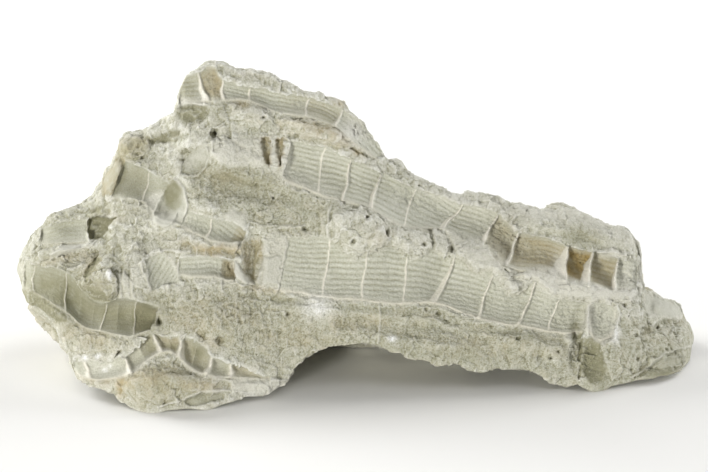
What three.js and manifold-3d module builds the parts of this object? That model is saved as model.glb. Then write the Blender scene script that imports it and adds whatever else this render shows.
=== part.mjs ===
// A loose block of limestone with the hollow moulds of a fossil colonial coral on its front face.
// Millimetres, +Z up, +Y away from the front face. The block rests on a front left foot, a front
// right foot and its back edge, with a low arch between the feet.
import * as THREE from "three";
import { mergeVertices } from "three/addons/utils/BufferGeometryUtils.js";
import Module from "manifold-3d";

// ---- Driving dimensions -------------------------------------------------------------------
const BLOCK_LENGTH = 116; // mm, tip to tip along X
const LEFT_TIP = 17; // face units
const RIGHT_TIP = 694;
const UNIT = BLOCK_LENGTH / (RIGHT_TIP - LEFT_TIP); // mm in one face unit
const LEAN = THREE.MathUtils.degToRad(20); // the face sheet leans back by this much
const TAPER_LENGTH = 1000; // mm, depth over which the face sheet would grow to twice its size
const SHEET_CENTRE_ACROSS = 354; // face units, where the taper's axis meets the sheet
const SHEET_CENTRE_DOWN = 236;
const SHEET_CENTRE_RISE = 22.6; // mm from the floor line to that axis, along the sheet
const TABULA_THICKNESS = 0.9; // mm, the foot of a corallite's cross-wall
const TABULA_OPENING = 0.88; // share of a mould's width over which its tabulae are broken away
const TABULA = 5; // index of a tabula's height in a cross line
const RIB_SPACING = 0.95; // mm between septal ribs along a mould's wall
const RIB_HEIGHT = 0.2; // mm
const ARC_HALF_ANGLE = THREE.MathUtils.degToRad(50); // a mould's wall is this much of a round tube
const PLAIN_STEPS = 6; // facets round the wall of a mould whose ribs have worn away
const CUT_REACH = 6; // mm that a mould's cutter stands out in front of the face
const FACE_ROWS = 21; // rows of facets up the front face
const BACK_ROWS = 11; // rows over the top, down the back and along the base
const WEAR_SIZE = 0.3; // mm, uneven weathering of the whole surface
const WEAR_RISE = 0.6; // share of the wear that also lifts or lowers the surface
const BACK_LUMPS = 3.2; // mm, how far the back's lumps stand out
const WEAR_LENGTH = 7; // mm between its bumps
const FINE_WEAR_LENGTH = 3.15; // mm, smaller bumps on top of those
const LUMP_LENGTH = 23.8; // mm between the back's lumps
const SMALL_LUMP_LENGTH = 11.2; // mm, smaller lumps on top of those
const LUMP_MEAN = 0.4; // the lumps' average, which leaves the back's size as it was
const WEAR_FADE = 3; // mm above the floor over which the wear grows, so that the feet stay flat
const EDGE_FADE = 8; // the face's relief grows to full size over 1/8 of its height at each edge
const FLOOR_SLAB = [200, 200, 20]; // mm, the slab that trims the block's feet flat

// ---- The face sheet -----------------------------------------------------------------------
// A place on the front is given as (across, down) in face units on a sheet that leans back, and a
// depth in mm behind that sheet. The sheet tapers very slightly towards the front.
const lean = { sin: Math.sin(LEAN), cos: Math.cos(LEAN) };

function place(across, down, depth) {
  const spread = UNIT * (1 + depth / TAPER_LENGTH);
  const rise = SHEET_CENTRE_RISE + (SHEET_CENTRE_DOWN - down) * spread;
  return new THREE.Vector3(
    (across - SHEET_CENTRE_ACROSS) * spread,
    rise * lean.sin + depth * lean.cos,
    rise * lean.cos - depth * lean.sin,
  );
}

// The place across the block of a point (y, z) in the slice that meets the sheet at "across".
function sliceX(across, y, z) {
  const depth = y * lean.cos - z * lean.sin;
  return (across - SHEET_CENTRE_ACROSS) * UNIT * (1 + depth / TAPER_LENGTH);
}

// ---- Outline and hull, chosen by hand -----------------------------------------------------
// [across, down] along the upper and the lower outline of the face.
const UPPER_OUTLINE = [
  [17, 267], [21, 256], [29, 239], [37, 232], [47, 220], [56, 213], [75, 207], [92, 198],
  [98, 190], [103, 186], [104, 176], [112, 167], [117, 153], [121, 139], [134, 131],
  [149, 128], [160, 118], [174, 112], [178, 103], [182, 85], [189, 73], [203, 66],
  [222, 63], [236, 70], [252, 69], [272, 76], [294, 85], [320, 92], [344, 102], [357, 117],
  [374, 135], [388, 157], [400, 160], [413, 173], [430, 184], [453, 194], [490, 192],
  [508, 204], [540, 208], [562, 207], [590, 216], [613, 225], [627, 227], [640, 243],
  [642, 262], [643, 291], [654, 293], [668, 299], [681, 306], [686, 321], [694, 334],
];
const LOWER_OUTLINE = [
  [17, 271], [22, 287], [27, 301], [39, 310], [52, 320], [58, 332], [69, 357], [74, 374],
  [86, 384], [106, 391], [120, 401], [137, 412], [152, 415], [168, 411], [208, 410],
  [228, 402], [262, 397], [279, 390], [288, 380], [298, 364], [314, 352], [345, 345],
  [375, 345], [402, 353], [430, 363], [462, 369], [480, 373], [500, 369], [534, 371],
  [550, 384], [566, 388], [577, 384], [592, 391], [612, 386], [632, 381], [664, 377],
  [683, 368], [691, 356], [694, 339],
];

// [across, depth behind the sheet]
const DEPTH_AT_TOP = [
  [17, 1], [30, -1], [60, -2], [100, -3], [150, -4], [180, -6], [220, -7], [300, -6.5],
  [350, -5.5], [400, -2.5], [450, -1], [520, -0.5], [600, -0.5], [642, 0.5], [660, 2.5],
  [694, 7.5],
];
const DEPTH_AT_FOOT = [
  [17, 0], [30, -6], [55, -10], [80, -13], [110, -16], [137, -18.6], [152, -19.3],
  [208, -18.4], [250, -15.3], [280, -13.6], [300, -13.5], [345, -13.5], [400, -13],
  [450, -11.8], [500, -10.8], [545, -10.2], [566, -9.8], [592, -10.5], [632, -8],
  [664, -7], [683, -4], [694, 5.5],
];
const BELLY = [
  [17, 0], [30, 3], [60, 4.5], [110, 4], [160, 2.5], [220, 2], [300, 2], [400, 2.5],
  [500, 3], [600, 2.5], [650, 2.5], [680, 2], [694, 0],
]; // mm that the face swells forward between its edges
const BACK_REACH = [
  [17, 2.5], [30, 6], [60, 11], [110, 17], [170, 23], [230, 26], [330, 27], [430, 25],
  [520, 23], [600, 20], [645, 17], [680, 13], [694, 5],
]; // mm, Y of the block's back
const BACK_LIFT = [
  [17, 9], [30, 7], [55, 3.5], [85, 0], [600, 0], [660, 0], [694, 3.5],
]; // mm, Z of the back's lower edge

// [across, down, half width, half height, turn in degrees, mm raised (-) or sunk (+)]
const RELIEF = [
  // the crust between the two long moulds
  [363, 226, 40, 22, 8, -2.6], [342, 222, 11, 12, 0, -0.9], [384, 238, 14, 10, 0, -0.8],
  [420, 242, 22, 12, 15, -1.7], [478, 256, 26, 13, 15, -2.0], [545, 282, 60, 14, 8, -1.8],
  [506, 288, 12, 10, 0, -0.8],
  // the crust below the crest
  [318, 128, 34, 12, 20, -1.6], [250, 118, 20, 10, 15, -0.9], [215, 152, 30, 14, 15, -0.8],
  // the head of the lower mould: a pale block, and a hollow beside it
  [276, 262, 13, 27, 0, -1.9], [248, 262, 13, 24, 0, 2.8],
  // the left part: dish, bowl, lumps and ledges
  [195, 161, 16, 15, 0, 1.8], [167, 204, 18, 22, 10, 3.6], [100, 277, 23, 21, 20, -2.8],
  [134, 264, 9, 30, 10, -1.8], [68, 249, 34, 6, -8, -1.5], [98, 229, 13, 11, -30, 3.0],
  [192, 112, 18, 8, 0, 2.8], [134, 148, 22, 8, -15, -1.8], [165, 136, 18, 6, -15, 1.0],
  [240, 186, 54, 9, 12, 1.8], [206, 206, 20, 7, 10, -1.0], [160, 226, 16, 8, 0, -1.0],
  [214, 249, 30, 5, 3, 1.2],
  // the left foot
  [160, 386, 44, 15, -3, -2.2], [262, 387, 28, 7, -8, -1.6], [106, 368, 8, 14, 0, 1.0],
  [200, 396, 20, 7, 0, 1.1],
  // below the lower mould
  [318, 310, 24, 14, 0, -1.0], [400, 328, 70, 9, 8, 0.9], [440, 340, 22, 10, 10, -0.9],
  [350, 334, 20, 7, 0, -0.7], [520, 342, 26, 10, 5, -1.1], [228, 322, 24, 18, 0, -0.8],
  [556, 352, 12, 12, 0, -0.9],
  // the right end: crevice, lobe behind the end face, slab under it
  [577, 338, 6, 26, 8, 2.6], [592, 358, 10, 16, 0, 1.6], [618, 352, 20, 20, 0, -1.2],
  [648, 303, 6, 12, 0, 1.4], [667, 306, 16, 10, 12, -1.2], [664, 326, 22, 5, -14, 1.0],
  [668, 364, 26, 7, -12, 1.8], [606, 232, 26, 10, 15, -1.2], [548, 224, 30, 8, 5, -0.9],
];

// ---- Corallites ---------------------------------------------------------------------------
// Each mould is a list of cross lines from its upper to its lower rim:
// [upper across, upper down, lower across, lower down, depth in mm, height of a tabula in mm].
// Height 0 is a line that only guides the mould.
const CORALLITES = [
  {
    name: "crest",
    ribbed: true,
    lines: [
      [183, 76, 182, 98, 0.8, 0], [204, 71, 204, 103, 1.6, 1.0], [223, 77, 223, 101, 1.5, 0.9],
      [252, 84, 247, 101, 1.3, 0.5], [281, 91, 274, 110, 1.3, 0], [310, 99, 304, 117, 1.3, 0.5],
      [343, 109, 335, 128, 1.4, 0.8], [365, 124, 352, 142, 1.2, 0],
      [384, 154, 376, 158, 0.3, 0],
    ],
  },
  {
    name: "upper",
    ribbed: true,
    lines: [
      [265, 139, 262, 164, 2.2, 0], [274, 138, 274, 171, 2.8, 2.2],
      [291, 138, 283, 179, 2.4, 1.6], [325, 147, 317, 192, 2.3, 0.5],
      [352, 158, 342, 201, 2.5, 0.9], [381, 171, 371, 208, 2.4, 0.9],
      [416, 188, 403, 227, 2.2, 0.4], [464, 203, 443, 230, 2.0, 0.7],
      [498, 213, 482, 246, 2.4, 0.9], [520, 231, 504, 264, 2.8, 1.4],
      [547, 238, 545, 269, 3.0, 0], [567, 246, 566, 278, 4.4, 3.2],
      [592, 251, 590, 284, 4.8, 3.4], [618, 256, 615, 289, 4.2, 2.8],
      [636, 262, 634, 290, 2.6, 0],
    ],
  },
  {
    name: "lower",
    ribbed: true,
    lines: [
      [291, 240, 279, 290, 1.6, 0], [330, 242, 323, 296, 2.1, 0.5],
      [366, 256, 362, 300, 2.1, 0.4], [409, 256, 402, 303, 2.1, 0.4],
      [456, 259, 436, 303, 2.3, 1.0], [494, 272, 478, 318, 2.0, 0.7],
      [537, 280, 519, 325, 2.0, 0.8], [559, 297, 548, 331, 1.7, 0.4],
      [592, 303, 589, 336, 2.0, 1.0], [615, 310, 612, 332, 1.0, 0],
    ],
  },
  {
    name: "small_middle",
    ribbed: true,
    lines: [
      [187, 212, 181, 226, 0.8, 0], [213, 217, 207, 238, 1.3, 0.5],
      [238, 225, 229, 243, 1.9, 0], [247, 231, 241, 243, 1.8, 0],
    ],
  },
  {
    name: "lower_left",
    ribbed: true,
    lines: [
      [180, 256, 178, 275, 0.7, 0], [206, 254, 205, 277, 1.2, 0], [238, 260, 238, 281, 2.4, 0],
    ],
  },
  {
    name: "curved",
    ribbed: false,
    lines: [
      [144, 260, 164, 253, 0.5, 0], [148, 275, 175, 266, 1.1, 0], [152, 291, 180, 281, 0.7, 0],
    ],
  },
  {
    name: "upper_left",
    ribbed: false,
    lines: [
      [126, 160, 112, 196, 1.2, 0], [150, 170, 143, 202, 1.8, 0.4],
      [170, 184, 153, 212, 1.0, 0],
    ],
  },
  {
    name: "far_left_small",
    ribbed: false,
    lines: [
      [42, 228, 41, 243, 0.8, 0], [64, 222, 62, 243, 1.4, 0], [88, 218, 86, 242, 2.0, 0],
    ],
  },
  {
    name: "far_left_long",
    ribbed: false,
    lines: [
      [26, 262, 24, 292, 0.8, 0], [36, 262, 34, 303, 1.6, 0.5], [71, 277, 66, 318, 2.6, 0.8],
      [108, 299, 101, 330, 3.2, 0.8], [137, 301, 133, 336, 3.8, 0.7],
      [158, 306, 151, 330, 4.2, 0],
    ],
  },
  {
    name: "foot",
    ribbed: false,
    lines: [
      [71, 356, 71, 370, 1.2, 0], [87, 352, 86, 384, 2.4, 1.8], [125, 349, 124, 382, 2.8, 2.2],
      [155, 334, 153, 358, 2.8, 2.0], [184, 333, 184, 360, 2.8, 2.0],
      [213, 347, 209, 376, 3.2, 1.8], [233, 360, 231, 379, 2.0, 1.3],
      [264, 372, 264, 380, 0.8, 0],
    ],
  },
];

// ---- Hull ---------------------------------------------------------------------------------
// A value read from a list of [place, value] pairs, straight between them.
function lookUp(list, at) {
  if (at <= list[0][0]) return list[0][1];
  for (let i = 1; i < list.length; i++) {
    const [a, before] = list[i - 1];
    const [b, after] = list[i];
    if (at <= b) return before + ((after - before) * (at - a)) / (b - a);
  }
  return list[list.length - 1][1];
}

// Bumps and hollows of the face at one place, in mm.
function relief(across, down) {
  let sum = 0;
  for (const [x, y, rx, ry, turn, height] of RELIEF) {
    const angle = THREE.MathUtils.degToRad(turn);
    const dx = across - x;
    const dy = down - y;
    const a = (dx * Math.cos(angle) + dy * Math.sin(angle)) / rx;
    const b = (dy * Math.cos(angle) - dx * Math.sin(angle)) / ry;
    const reach = a * a + b * b;
    sum += height * Math.exp(-reach * reach);
  }
  return sum;
}

// Depth of the front face behind the sheet at one place.
function faceDepth(across, down) {
  const top = lookUp(UPPER_OUTLINE, across);
  const foot = lookUp(LOWER_OUTLINE, across);
  const up = THREE.MathUtils.clamp((foot - down) / (foot - top), 0, 1);
  const edges = THREE.MathUtils.lerp(
    lookUp(DEPTH_AT_FOOT, across),
    lookUp(DEPTH_AT_TOP, across),
    up,
  );
  const inside = Math.min(1, up * EDGE_FADE, (1 - up) * EDGE_FADE);
  const swell = Math.sqrt(Math.sin(Math.PI * up)) * lookUp(BELLY, across);
  return edges - swell + relief(across, down) * inside;
}

// One closed slice of the hull: up the face, over the top, down the back and along the base.
function slice(across) {
  const top = lookUp(UPPER_OUTLINE, across);
  const foot = lookUp(LOWER_OUTLINE, across);
  const points = [];
  for (let row = 0; row <= FACE_ROWS; row++) {
    const down = foot + ((top - foot) * row) / FACE_ROWS;
    points.push(place(across, down, faceDepth(across, down)));
  }
  const first = points[0];
  const last = points[FACE_ROWS];
  const back = Math.max(lookUp(BACK_REACH, across), last.y + 1);
  const lift = Math.min(lookUp(BACK_LIFT, across), last.z * 0.5);
  const behind = (share) => THREE.MathUtils.lerp(last.y, back, share);
  const height = (share) => THREE.MathUtils.lerp(lift, last.z, share);
  const under = (share) => THREE.MathUtils.lerp(first.y, behind(0.9), share);
  const profile = [
    [last.y, last.z],
    [behind(0.35), last.z - (back - last.y) * 0.22],
    [behind(0.8), height(0.72)],
    [back, height(0.45)],
    [behind(0.98), height(0.18)],
    [behind(0.9), lift],
    [under(0.62), lift],
    [under(0.3), THREE.MathUtils.lerp(lift, first.z, 0.72)],
    [first.y, first.z],
  ].map(([y, z]) => new THREE.Vector3(0, y, z));
  const rest = new THREE.CatmullRomCurve3(profile, false, "catmullrom", 0.5);
  for (let i = 1; i < BACK_ROWS; i++) {
    const p = rest.getPoint(i / BACK_ROWS);
    p.x = sliceX(across, p.y, p.z);
    points.push(p);
  }
  return points;
}

// Bumps without a grain: waves along a few slanted directions, each [x, y, z, start], added up to
// a value of about -1 to 1.
const WAVES = [
  [0.91, 0.32, 0.27, 0.4], [-0.43, 0.79, 0.44, 1.3], [0.24, -0.58, 0.78, 2.1],
  [0.68, 0.49, -0.54, 4.0], [-0.77, 0.18, -0.61, 5.2], [0.12, 0.93, -0.35, 3.1],
];

function bumps(point, length, turn) {
  const k = (2 * Math.PI) / length;
  let sum = 0;
  for (const [x, y, z, start] of WAVES) {
    sum += Math.sin(k * (x * point.x + y * point.y + z * point.z) + start * turn);
  }
  return sum / 3;
}

// Uneven wear: slight on the face, where the moulds stay crisp, and broad lumps on the back.
function weather(point, row) {
  const small = bumps(point, WEAR_LENGTH, 1) + 0.5 * bumps(point, FINE_WEAR_LENGTH, 2);
  const lumps = Math.abs(bumps(point, LUMP_LENGTH, 3)) + 0.3 * bumps(point, SMALL_LUMP_LENGTH, 4);
  const behind = row > FACE_ROWS ? Math.sin((Math.PI * (row - FACE_ROWS)) / BACK_ROWS) : 0;
  const size = WEAR_SIZE * small + BACK_LUMPS * behind * (lumps - LUMP_MEAN);
  point.y += size;
  point.z += size * WEAR_RISE * Math.min(1, Math.abs(point.z) / WEAR_FADE);
  return point;
}

// ---- Solids -------------------------------------------------------------------------------
const wasm = await Module();
wasm.setup();

// A manifold-3d solid of a closed geometry, turned round if its rings ran the other way.
function solidOf(geometry) {
  geometry.deleteAttribute("normal");
  geometry.deleteAttribute("uv");
  const merged = mergeVertices(geometry, 1e-4);
  const vertProperties = merged.attributes.position.array;
  const triVerts = new Uint32Array(merged.index.array);
  const solid = new wasm.Manifold(new wasm.Mesh({ numProp: 3, vertProperties, triVerts }));
  if (solid.volume() > 0) return solid;
  triVerts.reverse();
  return new wasm.Manifold(new wasm.Mesh({ numProp: 3, vertProperties, triVerts }));
}

// A closed skin over rings of points: side facets, and a fan over each end ring.
function loft(rings) {
  const count = rings[0].length;
  const points = rings.flat();
  const index = [];
  for (let i = 0; i + 1 < rings.length; i++) {
    for (let j = 0; j < count; j++) {
      const a = i * count + j;
      const b = i * count + ((j + 1) % count);
      index.push(a, b, a + count, b, b + count, a + count);
    }
  }
  for (const [start, flip] of [[0, true], [(rings.length - 1) * count, false]]) {
    const centre = new THREE.Vector3();
    for (let j = 0; j < count; j++) centre.addScaledVector(points[start + j], 1 / count);
    points.push(centre);
    for (let j = 0; j < count; j++) {
      const a = start + j;
      const b = start + ((j + 1) % count);
      index.push(points.length - 1, flip ? b : a, flip ? a : b);
    }
  }
  const geometry = new THREE.BufferGeometry().setFromPoints(points);
  geometry.setIndex(index);
  return geometry;
}

// ---- Moulds -------------------------------------------------------------------------------
// One cross-section of a mould's cutter: its ribbed wall, part of a circle, then its open front.
function crossSection(line, depth, ribs, share = 1) {
  const [ux, uy, lx, ly] = line;
  const upperRim = faceDepth(ux, uy);
  const lowerRim = faceDepth(lx, ly);
  const rimCos = Math.cos(ARC_HALF_ANGLE);
  const steps = ribs ? ribs * 2 : PLAIN_STEPS;
  const wall = [];
  const front = [];
  for (let i = 0; i <= steps; i++) {
    const angle = ARC_HALF_ANGLE * ((2 * i) / steps - 1);
    const rib = ribs && i % 2 ? RIB_HEIGHT : 0;
    const t = ((Math.sin(angle) / Math.sin(ARC_HALF_ANGLE)) * share + 1) / 2;
    const across = THREE.MathUtils.lerp(ux, lx, t);
    const down = THREE.MathUtils.lerp(uy, ly, t);
    const chord = THREE.MathUtils.lerp(upperRim, lowerRim, t);
    const bowl = ((Math.cos(angle) - rimCos) / (1 - rimCos)) * depth;
    wall.push(place(across, down, chord + bowl - rib));
    if (i === 0 || i === steps) front.unshift(place(across, down, chord - CUT_REACH));
  }
  return [...wall, ...front];
}

// The ring of a mould between two of its cross lines.
function ringBetween(sections, at) {
  const i = Math.min(Math.floor(at), sections.length - 2);
  return sections[i].map((point, k) => point.clone().lerp(sections[i + 1][k], at - i));
}

// The cutter of a whole mould: full rings along it, and a shallower one at each tabula, which
// leaves the tabula standing as a thin sharp wall across the mould.
function cutter({ lines, ribbed }) {
  const middle = ([ux, uy, lx, ly]) => new THREE.Vector2((ux + lx) / 2, (uy + ly) / 2);
  const width = ([ux, uy, lx, ly]) => Math.hypot(lx - ux, ly - uy) * UNIT;
  const arc = (Math.max(...lines.map(width)) * ARC_HALF_ANGLE) / Math.sin(ARC_HALF_ANGLE);
  const ribs = ribbed ? Math.round(arc / RIB_SPACING) : 0;
  const sections = lines.map((line) => crossSection(line, line[4], ribs));
  const inset = (i, towards) => {
    const apart = middle(lines[i]).distanceTo(middle(lines[towards])) * UNIT;
    return TABULA_THICKNESS / 2 / apart;
  };
  const rings = [];
  lines.forEach((line, i) => {
    if (line[TABULA] === 0) {
      rings.push(sections[i]);
      return;
    }
    rings.push(ringBetween(sections, i - inset(i, i - 1)));
    rings.push(crossSection(line, line[4] - line[TABULA], ribs, TABULA_OPENING));
    rings.push(ringBetween(sections, i + inset(i, i + 1)));
  });
  return solidOf(loft(rings));
}

// ---- Build --------------------------------------------------------------------------------
const STATIONS = [
  17, 20, 27, 38, 50, 63, 76, 89, 98, 104, 112, 117, 122, 134, 147, 160, 173, 178, 183, 190,
  203, 218, 234, 250, 266, 280, 289, 298, 312, 327, 342, 357, 372, 388, 402, 416, 430, 445,
  460, 475, 490, 506, 520, 535, 550, 566, 578, 592, 608, 624, 634, 640, 643, 655, 669, 682,
  690, 694,
];
const rings = STATIONS.map((across) => slice(across).map(weather));
let block = solidOf(loft(rings));

for (const corallite of CORALLITES) block = block.subtract(cutter(corallite));

// The feet and the back edge are worn flat where they touch the floor.
const floor = new THREE.BoxGeometry(...FLOOR_SLAB);
floor.translate(0, 0, -FLOOR_SLAB[2] / 2);
block = block.subtract(solidOf(floor));
const body = block.decompose().sort((a, b) => b.volume() - a.volume())[0];

const mesh = body.getMesh();
const geometry = new THREE.BufferGeometry();
geometry.setAttribute("position", new THREE.BufferAttribute(mesh.vertProperties, 3));
geometry.setIndex(new THREE.BufferAttribute(mesh.triVerts, 1));
geometry.computeBoundingBox();
const box = geometry.boundingBox;
geometry.translate(-(box.min.x + box.max.x) / 2, -(box.min.y + box.max.y) / 2, -box.min.z);
geometry.computeVertexNormals();

const limestone = new THREE.MeshStandardMaterial({
  color: "#b4b199",
  roughness: 0.9,
  metalness: 0,
  flatShading: true,
});
const coral = new THREE.Mesh(geometry, limestone);
coral.name = "coral_block";

const root = new THREE.Group();
root.add(coral);
export default root;
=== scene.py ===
# %% [markdown]
# # A fossil colonial coral in limestone
# The object is one loose block of pale limestone. On its front face lie the hollow half-tubes of
# several corallites, the skeletons of single coral animals. Each tube has fine ribs along it, the
# septa, and thin walls across it, the tabulae. This notebook makes the block as one fine skin of
# stone: first its broad shape, then its rough forms and grain, with the tubes sunk into its face.

import bmesh
import bpy
import math
import numpy as np
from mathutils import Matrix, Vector


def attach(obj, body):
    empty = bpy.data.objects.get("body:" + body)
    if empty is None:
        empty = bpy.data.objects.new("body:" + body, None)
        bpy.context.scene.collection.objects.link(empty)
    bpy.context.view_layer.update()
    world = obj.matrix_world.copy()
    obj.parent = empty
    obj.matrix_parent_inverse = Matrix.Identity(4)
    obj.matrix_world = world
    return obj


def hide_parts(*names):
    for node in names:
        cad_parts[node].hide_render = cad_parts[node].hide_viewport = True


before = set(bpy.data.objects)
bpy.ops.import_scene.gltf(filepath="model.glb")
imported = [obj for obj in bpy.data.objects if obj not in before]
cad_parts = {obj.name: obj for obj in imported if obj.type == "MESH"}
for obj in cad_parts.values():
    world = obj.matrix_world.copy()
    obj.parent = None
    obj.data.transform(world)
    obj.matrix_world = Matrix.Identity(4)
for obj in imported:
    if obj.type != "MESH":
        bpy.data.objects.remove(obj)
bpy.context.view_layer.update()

# %% [markdown]
# ## The face sheet
# The rock's front has hundreds of places that need coordinates. It is easiest to give them on a
# flat sheet that leans back against the front: a place across, a place down, and a depth behind
# the sheet. One unit on the sheet is about a sixth of a millimetre. A function turns such places
# into points, so that all that is placed with it fits together.

# %% Face sheet
MM = 0.001  # metres in a millimetre: the shapes are worked out in millimetres
LEFT_TIP, RIGHT_TIP = 17, 694  # sheet units
UNIT = 116 / (RIGHT_TIP - LEFT_TIP)  # mm in a sheet unit
LEAN = math.radians(20)
SIN, COS = math.sin(LEAN), math.cos(LEAN)
TAPER_LENGTH = 1000  # mm: the block widens towards its back by its depth's share of this
SHEET_CENTRE = (354, 236)  # sheet units
SHEET_RISE = 22.6  # mm from the floor to the sheet's centre
BLOCK_SHIFT = np.array([-0.384, -3.7785, 0.0])  # mm, puts the block's box over the origin


def place(across, down, depth):
    """Points in mm, before the shift, of places on the sheet."""
    spread = UNIT * (1 + depth / TAPER_LENGTH)
    rise = SHEET_RISE + (SHEET_CENTRE[1] - down) * spread
    return np.stack(
        [(across - SHEET_CENTRE[0]) * spread, rise * SIN + depth * COS, rise * COS - depth * SIN],
        axis=-1,
    )


def slice_x(across, y, z):
    """The place across the block of points in the slice that meets the sheet at across."""
    depth = y * COS - z * SIN
    return (across - SHEET_CENTRE[0]) * UNIT * (1 + depth / TAPER_LENGTH)


print("a sheet unit:", round(UNIT, 4), "mm, the lean:", round(math.degrees(LEAN)), "degrees")

# %% [markdown]
# ## Outline and hull
# A loft needs its outline and how deep it lies. Each list below holds places across the block,
# each with its value there, and the values between them are interpolated. The feet, the arch
# between them, the high left knob and the long slope to the narrow right end all come from these
# few lists.

# %% Outline and hull
UPPER_OUTLINE = [
    (17, 267), (21, 256), (26, 247), (30, 236), (37, 232), (43, 225), (47, 220), (55, 214),
    (65, 211), (75, 207), (85, 204), (92, 199), (96, 191), (102, 186), (105, 173), (112, 167),
    (117, 153), (120, 140), (126, 135), (134, 131), (149, 128), (159, 119), (166, 116), (174, 112),
    (177, 103), (181, 87), (187, 76), (192, 71), (201, 66.5), (210, 64), (222, 63.5), (228, 67),
    (236, 70), (242, 71), (251, 68.5), (264, 72), (269, 75), (282, 79.5), (290, 83), (297, 87),
    (312, 91.5), (321, 92), (326, 96), (338, 100), (345, 103), (351, 112), (361, 120), (369, 132),
    (376, 142), (386, 155), (390, 158), (397, 158), (402, 161), (407, 168), (418, 178), (430, 184),
    (442, 187), (453, 194), (467, 192), (488, 192), (495, 194), (504, 199), (509, 204), (532, 207),
    (540, 208), (551, 206.5), (563, 207), (570, 210), (585, 214), (596, 220), (608, 223),
    (614, 226), (627, 227), (633, 236), (639, 243), (641, 260), (643, 280), (645, 291), (650, 293),
    (656, 294), (662, 298), (672, 300), (680, 305), (684, 319), (690, 325), (694, 335),
]
LOWER_OUTLINE = [
    (17, 271), (21, 284), (27, 301), (39, 309), (50, 318), (56, 322), (58, 332), (62, 346),
    (69, 357), (72, 370), (78, 379), (90, 385), (110, 393), (119, 400), (131, 408), (143, 414),
    (152, 415), (165, 411), (185, 409), (210, 410), (226, 403), (245, 398), (262, 397), (273, 391),
    (286, 386), (289, 378), (297, 366), (305, 356), (318, 351), (332, 346), (345, 345), (362, 343),
    (378, 346), (392, 352), (400, 352), (408, 359), (424, 360), (437, 366), (450, 366), (454, 364),
    (462, 368), (467, 372), (480, 373), (495, 369), (520, 371), (533, 370), (545, 379), (550, 384),
    (566, 388), (577, 384), (590, 391), (598, 392), (606, 390), (612, 386), (634, 381), (655, 378),
    (668, 376), (680, 371), (690, 360), (692, 346), (694, 338),
]
DEPTH_AT_TOP = [
    (17, 1), (30, -1), (60, -2), (100, -3), (150, -4), (180, -6), (220, -7), (300, -6.5),
    (350, -5.5), (400, -2.5), (450, -1), (520, -0.5), (600, -0.5), (642, 0.5), (660, 2.5),
    (694, 7.5),
]
DEPTH_AT_FOOT = [
    (17, 0), (30, -6), (55, -10), (80, -13), (110, -16), (137, -18.6), (152, -19.3), (208, -18.4),
    (250, -15.3), (280, -13.6), (300, -13.5), (345, -13.5), (400, -13), (450, -11.8), (500, -10.8),
    (545, -10.2), (566, -9.8), (592, -10.5), (632, -8), (664, -7), (683, -4), (694, 5.5),
]
BELLY = [
    (17, 0), (30, 3), (60, 4.5), (110, 4), (160, 2.5), (220, 2), (300, 2), (400, 2.5), (500, 3),
    (600, 2.5), (650, 2.5), (680, 2), (694, 0),
]
BACK_REACH = [
    (17, 2.5), (30, 6), (60, 11), (110, 17), (170, 23), (230, 26), (330, 27), (430, 25), (520, 23),
    (600, 20), (645, 17), (680, 13), (694, 5),
]
BACK_LIFT = [(17, 16), (21, 13), (30, 9), (55, 3.5), (85, 0), (660, 0), (688, 3.5), (694, 8)]


def look_up(pairs, at):
    """Values read from (place, value) pairs, straight between them."""
    places, values = zip(*pairs)
    return np.interp(at, places, values)


def lerp(a, b, share):
    """The value between a and b at a share of the way."""
    return a + (b - a) * share


print("places on the outline:", len(UPPER_OUTLINE), "above,", len(LOWER_OUTLINE), "below")

# %% [markdown]
# ## Relief
# Weathered limestone is a landscape of lumps, ledges and hollows. Each row below is one of them:
# where it is, its half width and half height, how far it is turned, and how many millimetres it
# is raised (minus) or sunk (plus). A flat-topped bell shape spreads each over the face.

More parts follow.
